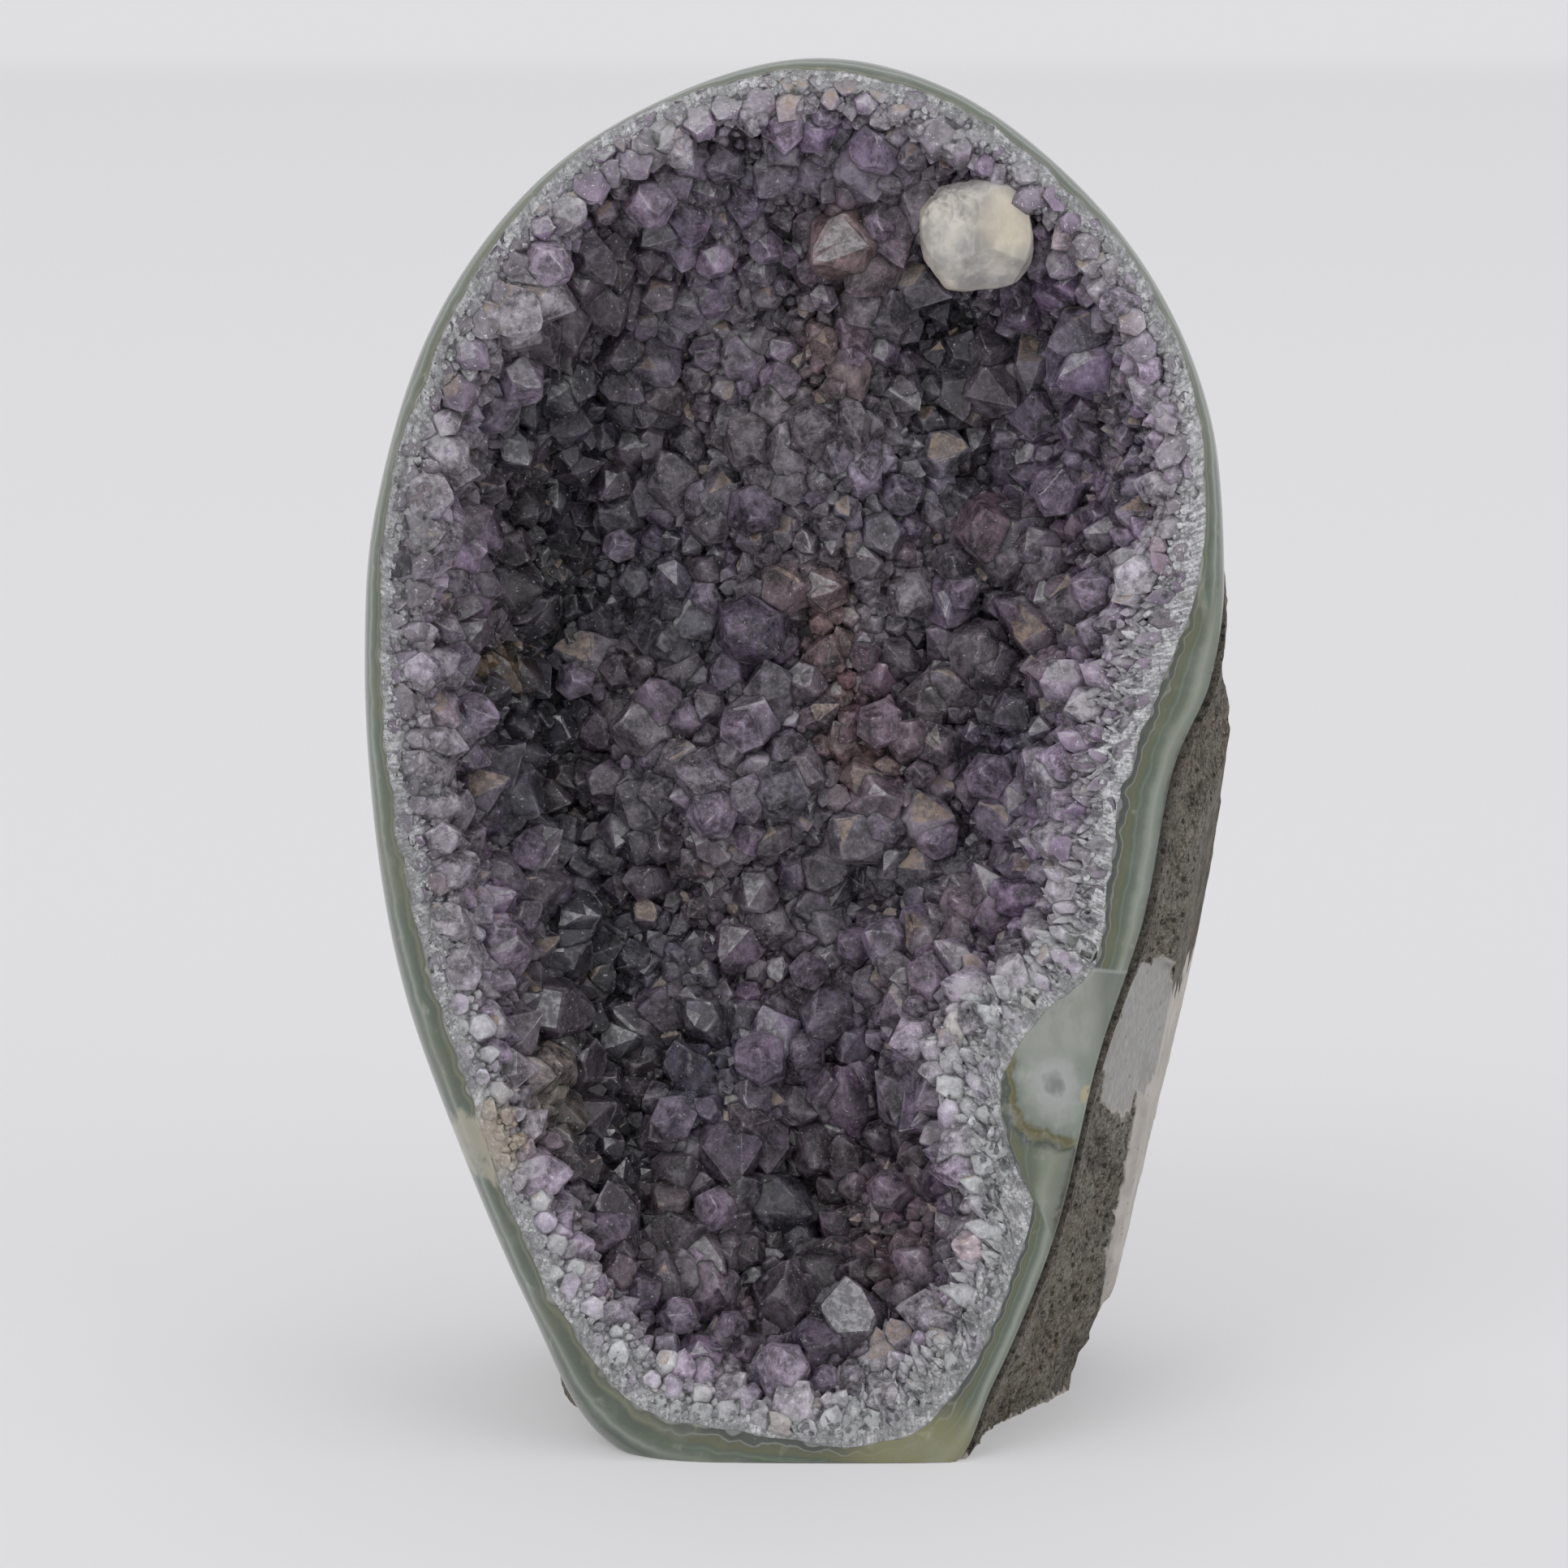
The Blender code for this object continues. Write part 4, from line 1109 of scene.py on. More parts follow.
def bed_tint(places):
    """The colour of the crystals rooted at each (u, v, w) place."""
    flat = places.reshape(-1, 3)
    u, v = flat[:, 0], flat[:, 1]
    tint = np.tile(SMOKE, (len(flat), 1))
    warm = clouds(flat, 14.0, 21, 2)[:, None]
    tint = tint * np.exp(0.55 * clouds(flat, 9.0, 20, 2))[:, None]
    tint = tint * (1 + warm * np.array([0.12, -0.02, -0.1]))
    for *spot, colour, strength in TINTS:
        tint += (np.array(colour) - tint) * (strength * hill(u, v, *spot))[:, None]
    angle, radius = from_heart(u, v)
    inside = QUARTZ_RADIUS(angle) - radius
    edge = smooth(RIM_FROST, 0.0, inside + 2.5 * clouds(flat, 6.0, 22, 2))[:, None]
    tint += (np.array(LILAC) * 1.05 - tint) * edge * 0.6
    edge = smooth(3.2, -0.5, inside + 1.2 * clouds(flat, 4.0, 23, 2))[:, None]
    tint += (np.array(FROST) * 1.25 - tint) * edge * 0.8
    # painted shade down the left side of the hollow
    return tint * (1 - 0.2 * left_side(angle)[:, None])


# ---------------------------------------------------------------- quartz layer


def quartz_material():
    """Granular quartz, white and grey, with grains that run out from the hollow."""
    made, board = new_material("quartz")
    look = bpy.context.scene.geode_colours
    place = board.millimetres()
    fibre = board.mark("fibre", "Vector")
    ray = board.cloud(fibre, 0.5, 3.0, 0.7)
    grain = board.cells(place, 0.55)
    fine = board.cloud(place, 0.3, 3.0, 0.7)
    patch = board.cloud(place, 3.0, 3.0)
    knots = board.cloud(place, 0.9, 4.0, 0.75)
    bright = board.between(0.43, 0.57, ray * 0.4 + fine * 0.25 + knots * 0.35)
    dull = board.mark("dull") * board.between(0.3, 0.6, patch)
    # Painted highlights: small white spots stand in for glints on the grains
    glint_spots = board.between(0.6, 0.7, board.cloud(place, 0.6, 3.0, 0.7))
    colour = board.over(
        board.blend(bright, look.quartz_grey, look.quartz_white),
        (board.between(0.45, 0.75, patch) * 0.5, look.quartz_grey),
        (board.between(0.3, 0.7, grain) * 0.3, (0.3, 0.3, 0.31)),
        (dull * 0.6, (0.19, 0.195, 0.19)),
        (board.mark("stained"), board.mark("tint", "Color")),
        # painted glints
        (glint_spots * 0.7, (0.85, 0.85, 0.87)),
    )
    normal = board.bump(fine * 0.6 + ray * 0.6 - grain, 0.3, 0.9)
    board.finish(Base_Color=colour, Roughness=0.25 + fine * 0.25, Normal=normal, Subsurface_Weight=0.3,
                 Subsurface_Radius=(1, 1, 1), Subsurface_Scale=0.0012)
    return made


def white_rim(angle):
    """1 round the bottom of the hollow, where the crystals next to the agate are white, and 0 above."""
    return arc(angle, -155, -135, -38, -28)


def prism_side(angle):
    """1 along the lower right, where long crystals point in from the agate, and 0 elsewhere."""
    return arc(angle, -95, -78, 12, 30)


def inwards(angle):
    """Directions, in the object's frame, from the rim towards the heart of the face."""
    return np.stack(
        [-np.cos(angle), -np.sin(angle) * math.sin(LEAN), -np.sin(angle) * math.cos(LEAN)], axis=-1
    )


def left_side(angle):
    """1 along the left side of the hollow, where the crystals get painted shade, and 0 round the rest.
    """
    return smooth(95, 130, np.abs(degrees_of(angle)))


def tan_stain(places):
    """1 where the stain over the left rim has spread to the crystals, and 0 elsewhere."""
    return smooth(7.0, 2.5, np.hypot(places[:, 0] - STAIN[0] - 2, places[:, 1] - STAIN[1] - 1))


def rim_tint(places):
    """The colour of the crystals in the outermost rows, by the quartz."""
    angle = angle_to(places[:, 0], places[:, 1])
    white = white_rim(angle)[:, None]
    lilac = np.clip(0.55 + 1.0 * clouds(places, 8.0, 31, 2), 0, 1)[:, None]
    tint = np.array(FROST) * 1.1 + lilac * (np.array(LILAC) * 0.95 - np.array(FROST) * 1.1)
    tint = tint + white * (np.array(WHITE) - tint)
    tint = tint + tan_stain(places)[:, None] * 0.9 * (np.array(TAN) - tint)
    # painted shade on the left side, less where the rim is white
    return tint * (1 - 0.35 * left_side(angle)[:, None] * (1 - 0.7 * white))


def quartz_marks(points):
    """The colours and fibre directions of the quartz at each point."""
    places = to_face(points)
    angle, radius = from_heart(places[:, 0], places[:, 1])
    inner, outer = QUARTZ_RADIUS(angle), agate_border(angle)
    share = (radius - inner) / (outer - inner)
    stained = smooth(0.55, 0.1, share + 0.25 * clouds(places, 3.0, 32, 2)) * 0.75
    fibre = np.stack([np.cos(angle) * 70, np.sin(angle) * 70, (radius - outer) / 5], axis=-1)
    return {
        "tint": rim_tint(places),
        "stained": np.maximum(stained, tan_stain(places) * 0.8),
        "fibre": fibre,
        "dull": 1 - arc(angle, -40, -28, 28, 50),
    }


def quartz_band_rings(angle):
    """Rings of the granular band, from the agate to the hollow's edge."""
    outer, inner = agate_border(angle) - 0.02, QUARTZ_RADIUS(angle) - 0.5
    rings = []
    for t in np.linspace(0.0, 1.0, QUARTZ_RINGS):
        radius = outer + (inner - outer) * t
        sunk = (DRUSE_RIM_DROP + BED_SINK) * smooth(0.2, 0.9, t)
        ring = on_rays(angle, radius, face_depth(angle, radius) + sunk)
        rough = 0.6 * (0.5 - grains(ring, 1.1, 33)) + 0.3 * clouds(ring, 2.0, 34, 2)
        ring[:, 2] -= rough * (0.2 + 0.8 * smooth(0.0, 0.2, t)) + 0.25 * smooth(0.25, 0.6, t)
        rings.append(ring)
    return rings


class GEODE_OT_quartz(bpy.types.Operator):
    """Make the white granular quartz between agate and crystals"""

    bl_idname = "geode.quartz"
    bl_label = "Quartz Layer"

    def execute(self, context):
        look = context.scene.geode_crystals
        angle = even_directions(FACE_RAYS)
        band = quartz_band_rings(angle)
        back = bowl_rings(angle, agate_border(angle) - GAP, QUARTZ_BACK_DEPTH, start_below=0.2)
        hollow = bowl_rings(angle, QUARTZ_RADIUS(angle) + 1.0, DRUSE_BACK_DEPTH + GAP, start_below=3.6)
        rings = [to_world(ring) for ring in back[::-1] + band + hollow]
        ends = to_world(pole(QUARTZ_BACK_DEPTH)), to_world(pole(DRUSE_BACK_DEPTH + GAP))
        made = closed_body("quartz_granular", ends[0], rings, ends[1], quartz_marks)
        shade(made, 35)
        material = quartz_material()
        place_piece(made, "quartz_granular", material, ["quartz_layer"])

        pale = amethyst_material("rim_crystal", 0.06, 0.05, 0.5)
        layers = [
            ("quartz_crystals", material, 4, 0.0, look.quartz_spacing, 0.35, 0.7, 3),
            ("rim_crystals", pale, 5, 0.1, look.rim_spacing, 0.4, 0.72, 11),
        ]
        for name, kind, first, worn, spacing, smallest, largest, offset in layers:
            sheet = [to_world(ring) for ring in band[first:]]
            points = np.vstack(sheet)
            faces = ring_faces(len(sheet), len(angle), (False, False))
            marks = quartz_marks(points)
            inward = np.repeat(np.linspace(0, 1, len(sheet)), len(angle))
            prisms = np.tile(prism_side(angle), len(sheet))
            top = np.tile(smooth(35, 80, degrees_of(angle)), len(sheet))
            uneven = (0.45 - 0.2 * prisms) * clouds(to_face(points), 7.0, 35, 2)
            swell = 1 + uneven - 0.15 * prisms + 0.45 * top
            marks["growth"] = (0.85 + 0.25 * inward) * (swell if worn else 1)
            marks["stretch"] = prisms * (0.5 if worn else 1.5)
            marks["lean"] = inwards(np.tile(angle, len(sheet))) * (0.3 + 0.9 * prisms)[:, None]
            ground = mesh_object("quartz_ground", points, faces, marks)
            face_front(ground)
            forms = crystal_forms(RIM_FORMS, look.seed + offset, worn)
            grow_layer(ground, name, forms, kind, spacing, smallest, largest, 0.6,
                       look.seed + offset)
            bpy.data.objects.remove(ground)
        return {"FINISHED"}


def face_front(made):
    """Turns an open sheet's faces towards the viewer."""
    total = sum((poly.normal * poly.area for poly in made.data.polygons), Vector())
    if total.y > 0:
        made.data.flip_normals()


# ---------------------------------------------------------------- amethyst druse


def bed_level(u, v):
    """Depth of the crystal bed behind the face, as in the solid."""
    angle, radius = from_heart(u, v)
    rim = QUARTZ_RADIUS(angle)
    share = np.minimum(1.0, radius / rim)
    start = face_depth(angle, rim) + DRUSE_RIM_DROP
    steepness = 1 - share**BOWL_FLATNESS
    swell = sum(height * hill(u, v, *spot) for *spot, height in RELIEF)
    level = start + (DRUSE_DEPTH - start) * steepness**DRUSE_STEEPNESS
    return level - swell * smooth(0.0, 0.5, steepness)


def bed_rings():
    """The directions and rings of the crystal bed, from its rim to its middle."""
    angle = even_directions(BED_RAYS)
    rings = []
    for t in np.linspace(0.0, 1.0, BED_RINGS, endpoint=False):
        share = 1 - t**1.35
        flat = on_rays(angle, (QUARTZ_RADIUS(angle) + 0.3) * share, 0.0)
        level = bed_level(flat[:, 0], flat[:, 1])
        lumps = clouds(flat, 7.0, 41, 2) * 1.6 + clouds(flat, 3.2, 42, 1) * 0.6
        flat[:, 2] = level + BED_SINK + lumps * smooth(1.0, 0.93, share)
        rings.append(flat)
    return angle, rings


GLINT = (-0.2, -0.81, 0.54)  # crystal faces turned this way catch the light


def amethyst_material(name, shine, root_shade, even=0.0):
    """Smoky violet quartz, painted darker towards each crystal's root as shade between the crystals; the
    third argument says how much, and even takes its clouding away.
    """
    made, board = new_material(name)
    place = board.millimetres()
    lot, lot_two = board.mark("lot"), board.mark("lot_two")
    tint = board.mark("tint", "Color")
    veil = board.cloud(place, 3.2, 5.0, 0.65)
    mottle = board.cloud(place, 1.1, 4.0, 0.7)
    bright = 0.1 + board.between(0.1, 1.0, lot) * 0.3 + board.between(0.4, 0.64, veil) * 0.8
    bright = bright + board.between(0.38, 0.66, mottle) * 0.6
    frost = board.cloud(place, 0.6, 4.0, 0.75)
    bright = bright + board.between(0.52, 0.7, frost) * 0.7
    bright = bright * (1 - even) + even
    grey = board.node("ShaderNodeCombineColor", None, {0: bright, 1: bright, 2: bright})
    colour = board.blend(1.0, tint, grey, "MULTIPLY")
    colour = board.blend(board.between(0.6, 1.0, lot_two) * 0.8, colour, (1.0, 0.84, 1.06), "MULTIPLY")
    warm = 1 - board.between(0.0, 0.1, lot_two)
    colour = board.blend(warm * 0.8, colour, (1.1, 0.97, 0.92), "MULTIPLY")
    broken = board.between(0.45, 0.6, board.cloud(place, 0.9, 2.0))
    edge = (1 - board.between(0.02, 0.2, board.mark("facet"))) * board.mark("worn")
    # Painted shade: each crystal darkens towards its root, where its neighbours shade it
    root = 1 - board.between(0.0, 0.35, board.mark("tip"))
    # Painted highlights: small bright spots stand in for glints on the crystals
    glint_spots = board.between(0.67 - even * 0.065, 0.73 - even * 0.065, board.cloud(place, 0.5, 2.0))
    glint_colour = tuple(value + even * 0.5 for value in (0.5, 0.49, 0.52))
    # Painted highlight: faces turned towards GLINT are painted pale, as flashes of light
    facing = board.node("ShaderNodeNewGeometry", output="True Normal")
    turned = board.vector("DOT_PRODUCT", facing, GLINT, 1)
    flash = board.between(0.925, 0.935, turned) * board.between(0.42, 0.46, lot)
    hue = board.blend(board.between(0.25, 0.4, lot_two), (0.36, 0.27, 0.2), (0.44, 0.44, 0.45))
    colour = board.over(
        colour,
        (edge * broken * 0.25, (0.3, 0.29, 0.31)),
        # painted shade at the roots
        (root * root_shade, (0.03, 0.028, 0.032)),
        # painted glints
        (glint_spots * 0.7, glint_colour),
        # painted flashes of light
        (flash * (0.3 + board.between(0.45, 0.6, mottle) * 0.5), hue),
    )
    fine = board.cloud(place, 0.8, 4.0, 0.7)
    normal = board.bump(fine, 0.5, 0.5)
    board.finish(Base_Color=colour, Roughness=shine + fine * 0.22, Normal=normal, IOR=1.54,
                 Subsurface_Weight=0.9, Subsurface_Radius=(1, 0.9, 1), Subsurface_Scale=0.003)
    return made


class GEODE_OT_druse(bpy.types.Operator):
    """Make the bed of the hollow and grow the amethyst crystals on it"""

    bl_idname = "geode.druse"
    bl_label = "Amethyst Druse"

    def execute(self, context):
        look = context.scene.geode_crystals
        angle, bed = bed_rings()
        back = bowl_rings(angle, QUARTZ_RADIUS(angle) + 0.6, DRUSE_BACK_DEPTH, start_below=3.2)
        rings = [to_world(ring) for ring in back[::-1] + bed]
        middle = bed[-1].mean(0)
        ends = to_world(pole(DRUSE_BACK_DEPTH)), to_world(middle)

        # Painted shade: the bed between the crystals gets half their tint and the full root shade, so it
        # shows near-black
        def marks(points):
            return {"tint": bed_tint(to_face(points)) * 0.5}

        made = closed_body("amethyst_bed", ends[0], rings, ends[1], marks)
        shade(made, 50)
        # painted shade: nearly all of the bed's colour is darkened
        dark = amethyst_material("amethyst_bed", 0.3, 0.9)
        place_piece(made, "amethyst_bed", dark, ["amethyst_druse"])

        points = np.vstack([*(to_world(ring) for ring in bed), ends[1][None]])
        faces = ring_faces(len(bed), len(angle), (False, True))
        flat = to_face(points)
        direction, radius = from_heart(flat[:, 0], flat[:, 1])
        inside = QUARTZ_RADIUS(direction) - radius
        growth = 1 + 0.5 * clouds(flat, 9.0, 51, 2) - 0.25 * smooth(6.0, 1.0, inside)
        from_calcite = np.hypot(flat[:, 0] - CALCITE_PLACE[0], flat[:, 1] - CALCITE_PLACE[1])
        growth *= 0.45 + 0.55 * smooth(*CALCITE_CLEAR, from_calcite)
        ground = mesh_object("bed_ground", points, faces, {"tint": bed_tint(flat), "growth": growth})
        face_front(ground)
        layers = [
            ("amethyst_crystals", 0.1, look.spacing, 0.45, 1.28, 0.65, 0),
            ("amethyst_small_crystals", 0.0, look.small_spacing, 0.55, 1.2, 0.7, 7),
        ]
        material = amethyst_material("amethyst", 0.03, 0.12)
        for name, worn, spacing, smallest, largest, tilt, offset in layers:
            forms = crystal_forms(BED_FORMS, look.seed + offset, worn)
            grow_layer(ground, name, forms, material, spacing, smallest, largest, tilt,
                       look.seed + offset)
        bpy.data.objects.remove(ground)
        return {"FINISHED"}


# ---------------------------------------------------------------- larger points and calcite


POINT_BEVEL = 0.035  # the worn edge of a larger point, as a share of its radius
POINT_SEED = 100


def crystal_frame(node):
    """(foot, outward axis, radius, length) of a crystal's solid, in metres."""
    bm = bmesh.new()
    bm.from_mesh(frame["nodes"][node].data)
    bmesh.ops.remove_doubles(bm, verts=bm.verts, dist=1e-6)
    points = np.array([v.co for v in bm.verts])
    bm.free()
    middle = points.mean(0)
    _, _, axes = np.linalg.svd(points - middle)
    axis = axes[0] if axes[0][1] < 0 else -axes[0]
    along = (points - middle) @ axis
    across = np.linalg.norm((points - middle) - along[:, None] * axis, axis=1)
    return middle + axis * along.min(), axis, across.max(), along.max() - along.min()


class GEODE_OT_points(bpy.types.Operator):
    """Make the larger amethyst points that stand out of the druse"""

    bl_idname = "geode.points"
    bl_label = "Amethyst Points"

    def execute(self, context):
        material = amethyst_material("amethyst_point", 0.07, 0.35)
        nodes = sorted(name for name in frame["nodes"] if name.startswith("amethyst_point_"))
        for number, node in enumerate(nodes, start=1):
            foot, axis, radius, length = crystal_frame(node)
            pick = random.Random(POINT_SEED + number)
            bm = quartz_solid(pick, max(0.5, length / radius - 1.0), root=0.0, unevenness=0.1)
            bmesh.ops.bevel(bm, geom=list(bm.edges), offset=POINT_BEVEL, segments=1, affect="EDGES")
            soften(bm, 0, pick)
            turn = Matrix.Rotation(pick.uniform(0, math.tau), 4, "Z")
            stand = Vector(axis).to_track_quat("Z", "Y").to_matrix().to_4x4()
            bm.transform(Matrix.Translation(foot) @ stand @ turn @ Matrix.Scale(radius, 4))
            made = object_of(bm, node + "_grown")
            tint = bed_tint(to_face(foot[None] / MM)) * 0.45 + np.array(LILAC) * 0.55
            count = len(made.data.vertices)
            marks = {name: np.full(count, pick.uniform(0.35, 0.75)) for name in ("lot", "lot_two")}
            set_marks(made.data, {"tint": np.tile(tint, (count, 1)), **marks})
            place_piece(made, node + "_grown", material, [node])
        return {"FINISHED"}


CALCITE_SQUARENESS = 2.8  # 2 makes a ball, more makes a rounded block
CALCITE_FILL = Vector((0.93, 0.95, 1.04))  # share of the solid's half sizes
CALCITE_TURN = math.radians(-7.0)
CALCITE_CUTS = 70  # cuts along each edge of the cube that it is shaped from
CALCITE_SHIFT = Vector((-0.3, -1.2, 1.2))  # clears the crystals round it
CALCITE_FACETS = [  # worn cleavage faces, as (outward direction, distance in half widths)
    ((-0.45, -0.85, 0.3), 0.9), ((0.55, -0.8, 0.2), 0.91), ((0.1, -0.8, -0.6), 0.92),
    ((0.75, 0.0, 0.65), 1.1), ((-0.85, 0.0, -0.5), 0.98), ((-0.7, 0.0, 0.7), 1.02),
    ((0.75, -0.2, -0.65), 1.06),
]


def calcite_material():
    """Cloudy cream calcite, brownish round its edge."""
    made, board = new_material("calcite")
    look = bpy.context.scene.geode_colours
    place = board.millimetres()
    cloudy = board.cloud(place, 3.5, 3.0)
    colour = board.blend(board.between(0.35, 0.7, cloudy), look.calcite_deep, look.calcite)
    low, high = (Vector(corner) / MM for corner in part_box("calcite_crystal"))
    middle = (low + high) / 2
    corner = board.vector("DISTANCE", place, (high.x - 3.0, low.y, high.z - 3.0), 1)
    edge = board.vector("DISTANCE", place, (middle.x + 1.5, low.y, middle.z + 3.0), 1)
    streak = board.cloud(board.millimetres((1, 1, 0.25)), 0.8, 3.0)
    colour = board.over(
        colour,
        ((1 - board.between(1.5, 6.5, corner)) * 0.75, (0.66, 0.60, 0.46)),
        (board.between(7.0, 11.5, edge) * 0.45, (0.42, 0.31, 0.2)),
        (board.between(0.55, 0.75, streak) * 0.35, (0.62, 0.61, 0.60)),
    )
    fine = board.cloud(place, 0.6, 3.0)
    normal = board.bump(fine, 0.12, 0.6)
    board.finish(Base_Color=colour, Roughness=0.3 + fine * 0.25, Normal=normal, Subsurface_Weight=0.3,
                 Subsurface_Radius=(1, 0.9, 0.7), Subsurface_Scale=0.002)
    return made


class GEODE_OT_calcite(bpy.types.Operator):
    """Make the cream calcite crystal at the upper right"""

    bl_idname = "geode.calcite"
    bl_label = "Calcite Crystal"

    def execute(self, context):
        low, high = (Vector(corner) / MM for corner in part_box("calcite_crystal"))
        middle = (low + high) / 2 + CALCITE_SHIFT
        half = Matrix.Diagonal((high - low) / 2) @ CALCITE_FILL
        turn = Matrix.Rotation(CALCITE_TURN, 3, "Y")
        bm = bmesh.new()
        bmesh.ops.create_cube(bm, size=2.0)
        bmesh.ops.subdivide_edges(bm, edges=bm.edges, cuts=CALCITE_CUTS, use_grid_fill=True)
        for v in bm.verts:
            ray = v.co.normalized()
            shares = (abs(part) ** CALCITE_SQUARENESS for part in ray)
            place = ray / sum(shares) ** (1 / CALCITE_SQUARENESS)
            for outward, reach in CALCITE_FACETS:
                facet = Vector(outward).normalized()
                place -= facet * max(0.0, place.dot(facet) - reach)
            v.co = middle + turn @ (Matrix.Diagonal(half) @ place)
        bm.normal_update()
        for v in bm.verts:
            wear = fractal(v.co / 4.5, 2) * 0.3 + fractal(v.co / 1.0, 3) * 0.06
            torn = smooth(high.z - 4.0, high.z - 2.0, v.co.z) * smooth(middle.x + 2, low.x + 4, v.co.x)
            wear -= torn * abs(fractal(v.co / 1.6, 3)) * 0.7
            v.co = (v.co + v.normal * wear) * MM
        made = object_of(bm, "calcite_worn")
        shade(made, 180)
        place_piece(made, "calcite_worn", calcite_material(), ["calcite_crystal"])
        return {"FINISHED"}


# ---------------------------------------------------------------- stage

FLOOR_BACK = 1.55  # metres behind the geode where the backdrop starts to rise
FLOOR_FRONT = -4.0
FLOOR_SIDE = 3.0
SWEEP = 0.25


WALL_TOP = 2.5
BACKDROP_RISE = 8.0  # millimetres over which the floor's glow turns into the backdrop's
LIGHT_AIM = (0, 0, 0.08)
LIGHTS = [  # (name, place, size)
    ("key", (-1.1, -1.5, 2.3), 1.2), ("fill", (1.8, -1.6, 1.2), 1.2), ("top", (0.2, 0.2, 2.6), 1.5),
]
SENSOR = 36.0  # width of the camera's sensor, in millimetres
FARTHEST = 20.0  # the camera sees nothing beyond this, in metres


def point_at(made, place, aim):
    """Puts a light or a camera somewhere and turns it to a point."""
    made.location = place
    made.rotation_euler = (Vector(aim) - Vector(place)).to_track_quat("-Z", "Y").to_euler()


def area_light(name, place, size, power):
    data = bpy.data.lights.new(name, "AREA")
    data.shape = "RECTANGLE"
    data.size = data.size_y = size
    data.energy = power
    point_at(new_object(name, data), place, LIGHT_AIM)


class GEODE_OT_stage(bpy.types.Operator):
    """Make the pale floor, the soft lights and the camera"""

    bl_idname = "geode.stage"
    bl_label = "Studio"

    def execute(self, context):
        look = context.scene.geode_stage
        profile = [(FLOOR_FRONT, 0.0), (FLOOR_BACK, 0.0)]
        for step in range(1, 13):
            turn = step * math.pi / 24
            profile.append((FLOOR_BACK + SWEEP * math.sin(turn), SWEEP * (1 - math.cos(turn))))
        profile.append((FLOOR_BACK + SWEEP, WALL_TOP))
        points = [(side * FLOOR_SIDE / MM, y / MM, z / MM) for y, z in profile for side in (-1, 1)]
        faces = [[2 * i, 2 * i + 1, 2 * i + 3, 2 * i + 2] for i in range(len(profile) - 1)]
        floor = mesh_object("studio_floor", points, faces)
        shade(floor, 60)
        made, board = new_material("studio_paper")
        high = board.node("ShaderNodeSeparateXYZ", None, {"Vector": board.millimetres()}).also("Z")
        wall, ground = (
            tuple(value * glow for value in look.paper) for glow in (look.paper_glow, look.floor_glow)
        )
        glow = board.blend(board.between(0.0, BACKDROP_RISE, high), ground, wall)
        board.finish(Base_Color=(*look.paper, 1), Roughness=0.9, Emission_Color=glow,
                     Emission_Strength=1.0)
        floor.data.materials.append(made)

        world = bpy.data.worlds.new("studio")
        context.scene.world = world
        world.use_nodes = True
        glow = world.node_tree.nodes["Background"]
        glow.inputs["Color"].default_value = (0.98, 0.98, 1.0, 1)
        glow.inputs["Strength"].default_value = look.ambient
        for name, place, size in LIGHTS:
            area_light(name, place, size, getattr(look, name))

        camera = bpy.data.cameras.new("camera")
        camera.sensor_width = SENSOR
        camera.lens = camera.sensor_width / (look.view_height / look.distance)
        camera.clip_end = FARTHEST
        made = new_object("camera", camera)
        back = Vector((0, -math.cos(look.elevation), math.sin(look.elevation)))
        point_at(made, look.aim + look.distance * back, look.aim)
        context.scene.camera = made
        context.scene.view_settings.view_transform = "Standard"
        return {"FINISHED"}


# ---------------------------------------------------------------- settings, panel and main


def colour_setting(name, description, default):
    return FloatVectorProperty(
        name=name, description=description, default=default, subtype="COLOR", size=3, min=0, max=1
    )


class GeodeColours(bpy.types.PropertyGroup):
    basalt: colour_setting("Basalt", "Lighter tone of the broken basalt", (0.37, 0.335, 0.275))
    basalt_dark: colour_setting("Dark basalt", "Darker tone of the broken basalt", (0.2, 0.172, 0.132))
    sawn_rock: colour_setting("Sawn rock", "Colour of the sawn side and base", (0.52, 0.48, 0.44))
    agate_olive: colour_setting("Agate olive", "Yellow-green tone in the agate", (0.15, 0.155, 0.085))
    agate_pale: colour_setting("Agate pale", "Milky tone in the agate", (0.27, 0.29, 0.26))
    quartz_white: colour_setting("Quartz white", "Bright grains of the quartz", (0.82, 0.82, 0.84))
    quartz_grey: colour_setting("Quartz grey", "Dull grains of the quartz", (0.24, 0.24, 0.25))
    calcite: colour_setting("Calcite", "Lighter tone of the calcite", (0.66, 0.62, 0.56))
    calcite_deep: colour_setting("Deep calcite", "Darker tone of the calcite", (0.33, 0.32, 0.31))


class GeodeCrystals(bpy.types.PropertyGroup):
    spacing: FloatProperty(
        name="Spacing", description="Distance between neighbouring crystals", default=3.0 * MM,
        min=1.5 * MM, unit="LENGTH",
    )
    small_spacing: FloatProperty(
        name="Small spacing", description="Distance between the small crystals that fill the gaps",
        default=1.55 * MM, min=1.0 * MM, unit="LENGTH",
    )
    quartz_spacing: FloatProperty(
        name="Quartz spacing", description="Distance between the white crystals of the quartz band",
        default=0.95 * MM, min=0.8 * MM, unit="LENGTH",
    )
    rim_spacing: FloatProperty(
        name="Rim spacing", description="Distance between the pale crystals round the hollow's rim",
        default=2.4 * MM, min=1.2 * MM, unit="LENGTH",
    )
    seed: IntProperty(name="Seed", description="Which of many like growths is made", default=5)


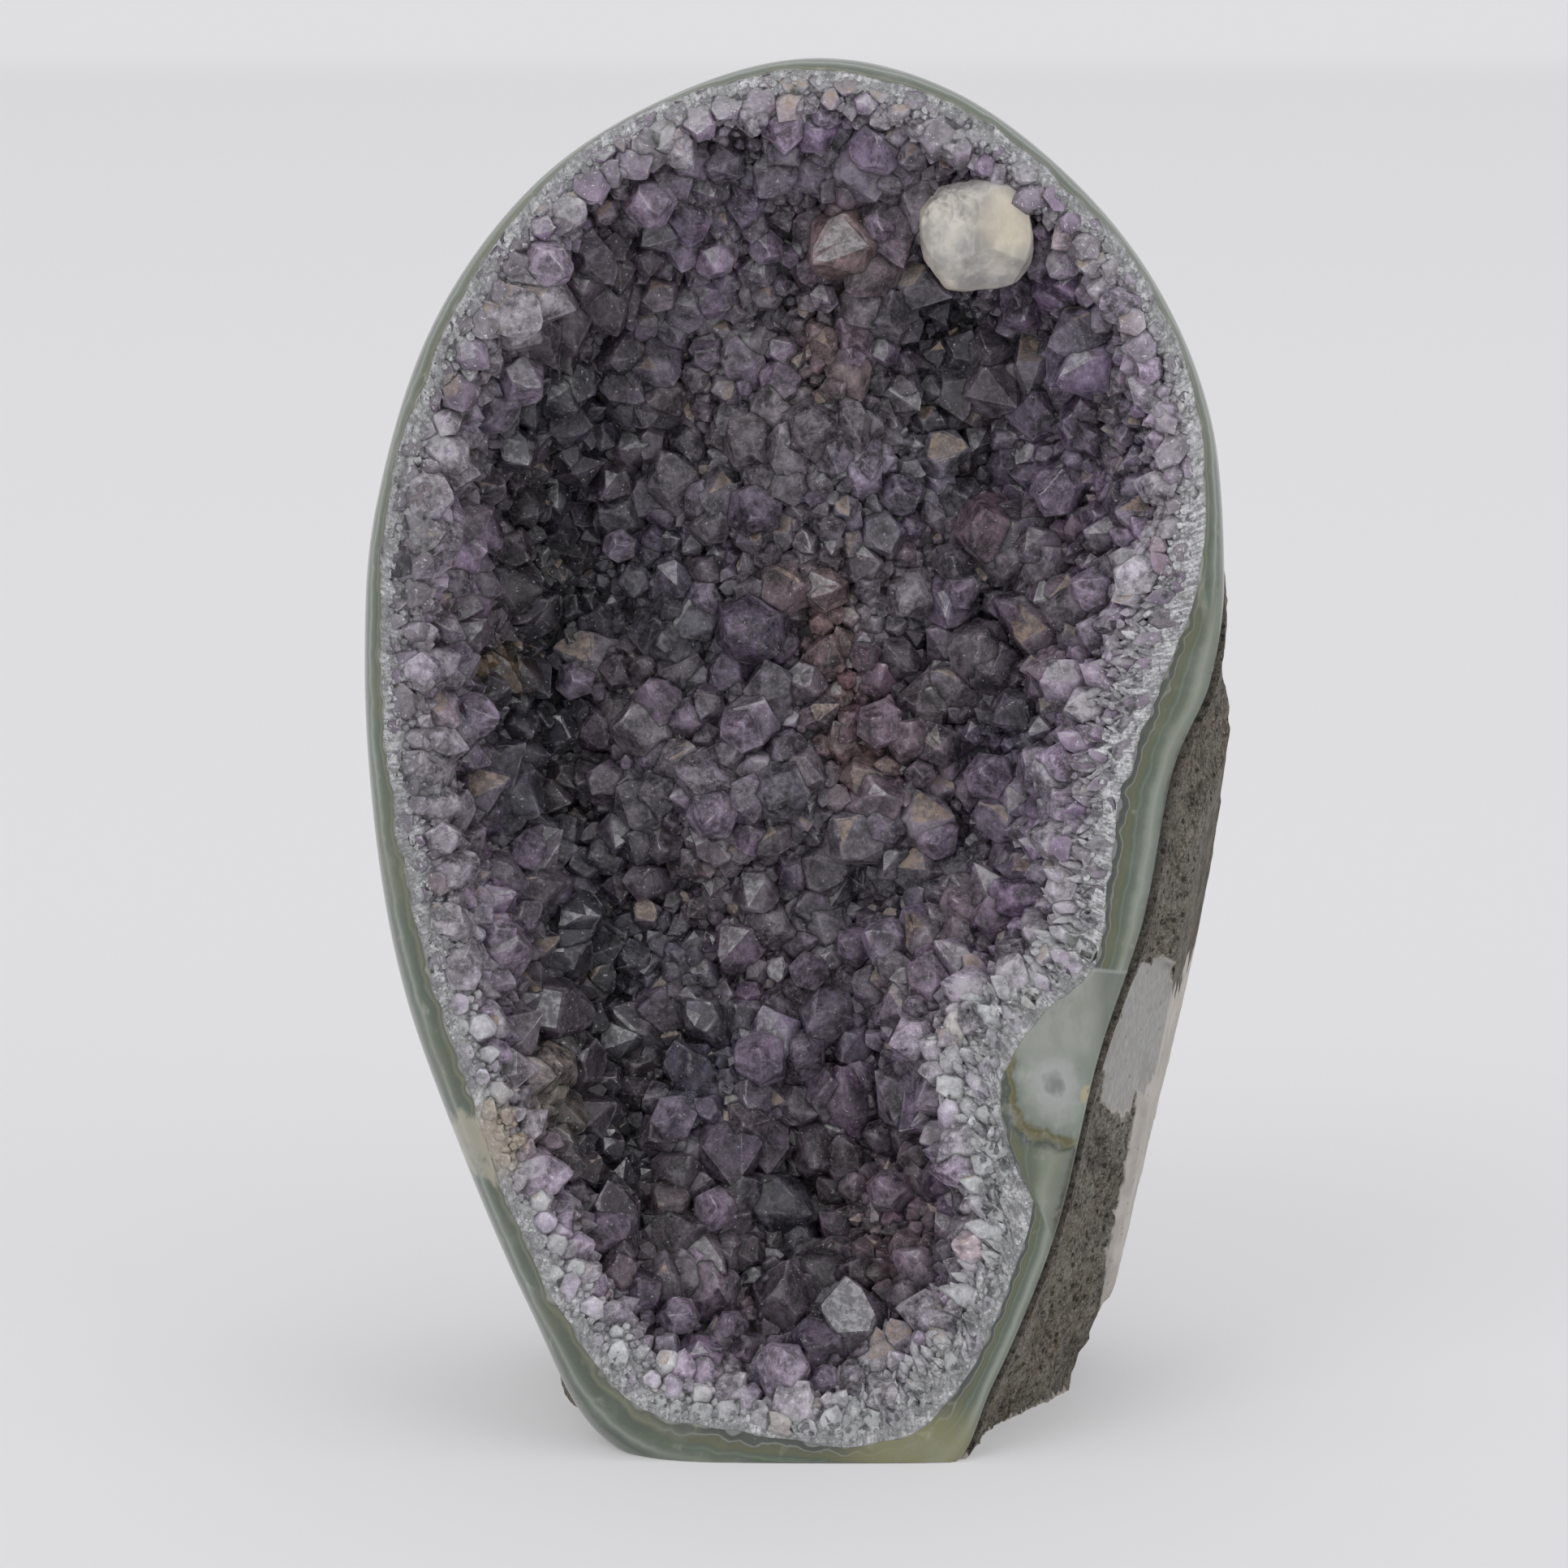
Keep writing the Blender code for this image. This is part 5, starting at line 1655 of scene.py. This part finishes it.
class GeodeStage(bpy.types.PropertyGroup):
    elevation: FloatProperty(
        name="Elevation", description="How far above level the camera looks down from",
        default=math.radians(12.0), subtype="ANGLE",
    )
    distance: FloatProperty(
        name="Distance", description="From the camera to the polished face", default=0.8, unit="LENGTH"
    )
    view_height: FloatProperty(
        name="View height", description="Height of the picture at the polished face", default=0.189,
        unit="LENGTH",
    )
    aim: FloatVectorProperty(
        name="Aim", description="The point that the camera looks at",
        default=tuple(to_world(np.array([-1.5, 82.6, 0.0])) * MM), size=3, subtype="TRANSLATION",
    )
    paper: colour_setting("Paper", "Colour of the floor and backdrop", (0.47, 0.467, 0.475))
    paper_glow: FloatProperty(
        name="Backdrop glow", description="Share of its colour that the backdrop gives off by itself",
        default=0.67, min=0,
    )
    floor_glow: FloatProperty(
        name="Floor glow", description="Share of its colour that the floor gives off by itself",
        default=0.58, min=0,
    )
    ambient: FloatProperty(name="Ambient", description="Strength of the even light", default=0.72, min=0)
    key: FloatProperty(
        name="Key light", description="Power of the main light", default=13.0, unit="POWER"
    )
    fill: FloatProperty(
        name="Fill light", description="Power of the side light", default=6.0, unit="POWER"
    )
    top: FloatProperty(
        name="Top light", description="Power of the overhead light", default=9.0, unit="POWER"
    )


class GEODE_PT_panel(bpy.types.Panel):
    bl_label = "Amethyst Geode"
    bl_idname = "GEODE_PT_panel"
    bl_space_type = "VIEW_3D"
    bl_region_type = "UI"
    bl_category = "Geode"

    def draw(self, context):
        for group in (getattr(context.scene, name) for name in GROUPS):
            box = self.layout.box()
            for name in group.bl_rna.properties.keys():
                if name not in ("rna_type", "name"):
                    box.prop(group, name)
        for operator in OPERATORS:
            self.layout.operator(operator.bl_idname)


OPERATORS = (
    GEODE_OT_host_rock,
    GEODE_OT_agate,
    GEODE_OT_quartz,
    GEODE_OT_druse,
    GEODE_OT_points,
    GEODE_OT_calcite,
    GEODE_OT_stage,
)
GROUPS = {"geode_colours": GeodeColours, "geode_crystals": GeodeCrystals, "geode_stage": GeodeStage}


def register():
    for each in (*GROUPS.values(), *OPERATORS, GEODE_PT_panel):
        bpy.utils.register_class(each)
    for name, group in GROUPS.items():
        setattr(bpy.types.Scene, name, PointerProperty(type=group))


def unregister():
    for name in GROUPS:
        delattr(bpy.types.Scene, name)
    for each in (GEODE_PT_panel, *reversed(OPERATORS), *GROUPS.values()):
        bpy.utils.unregister_class(each)


def main():
    register()
    bpy.ops.geode.host_rock()
    bpy.ops.geode.agate()
    bpy.ops.geode.quartz()
    bpy.ops.geode.druse()
    bpy.ops.geode.points()
    bpy.ops.geode.calcite()
    bpy.ops.geode.stage()


if __name__ == "__main__":
    main()
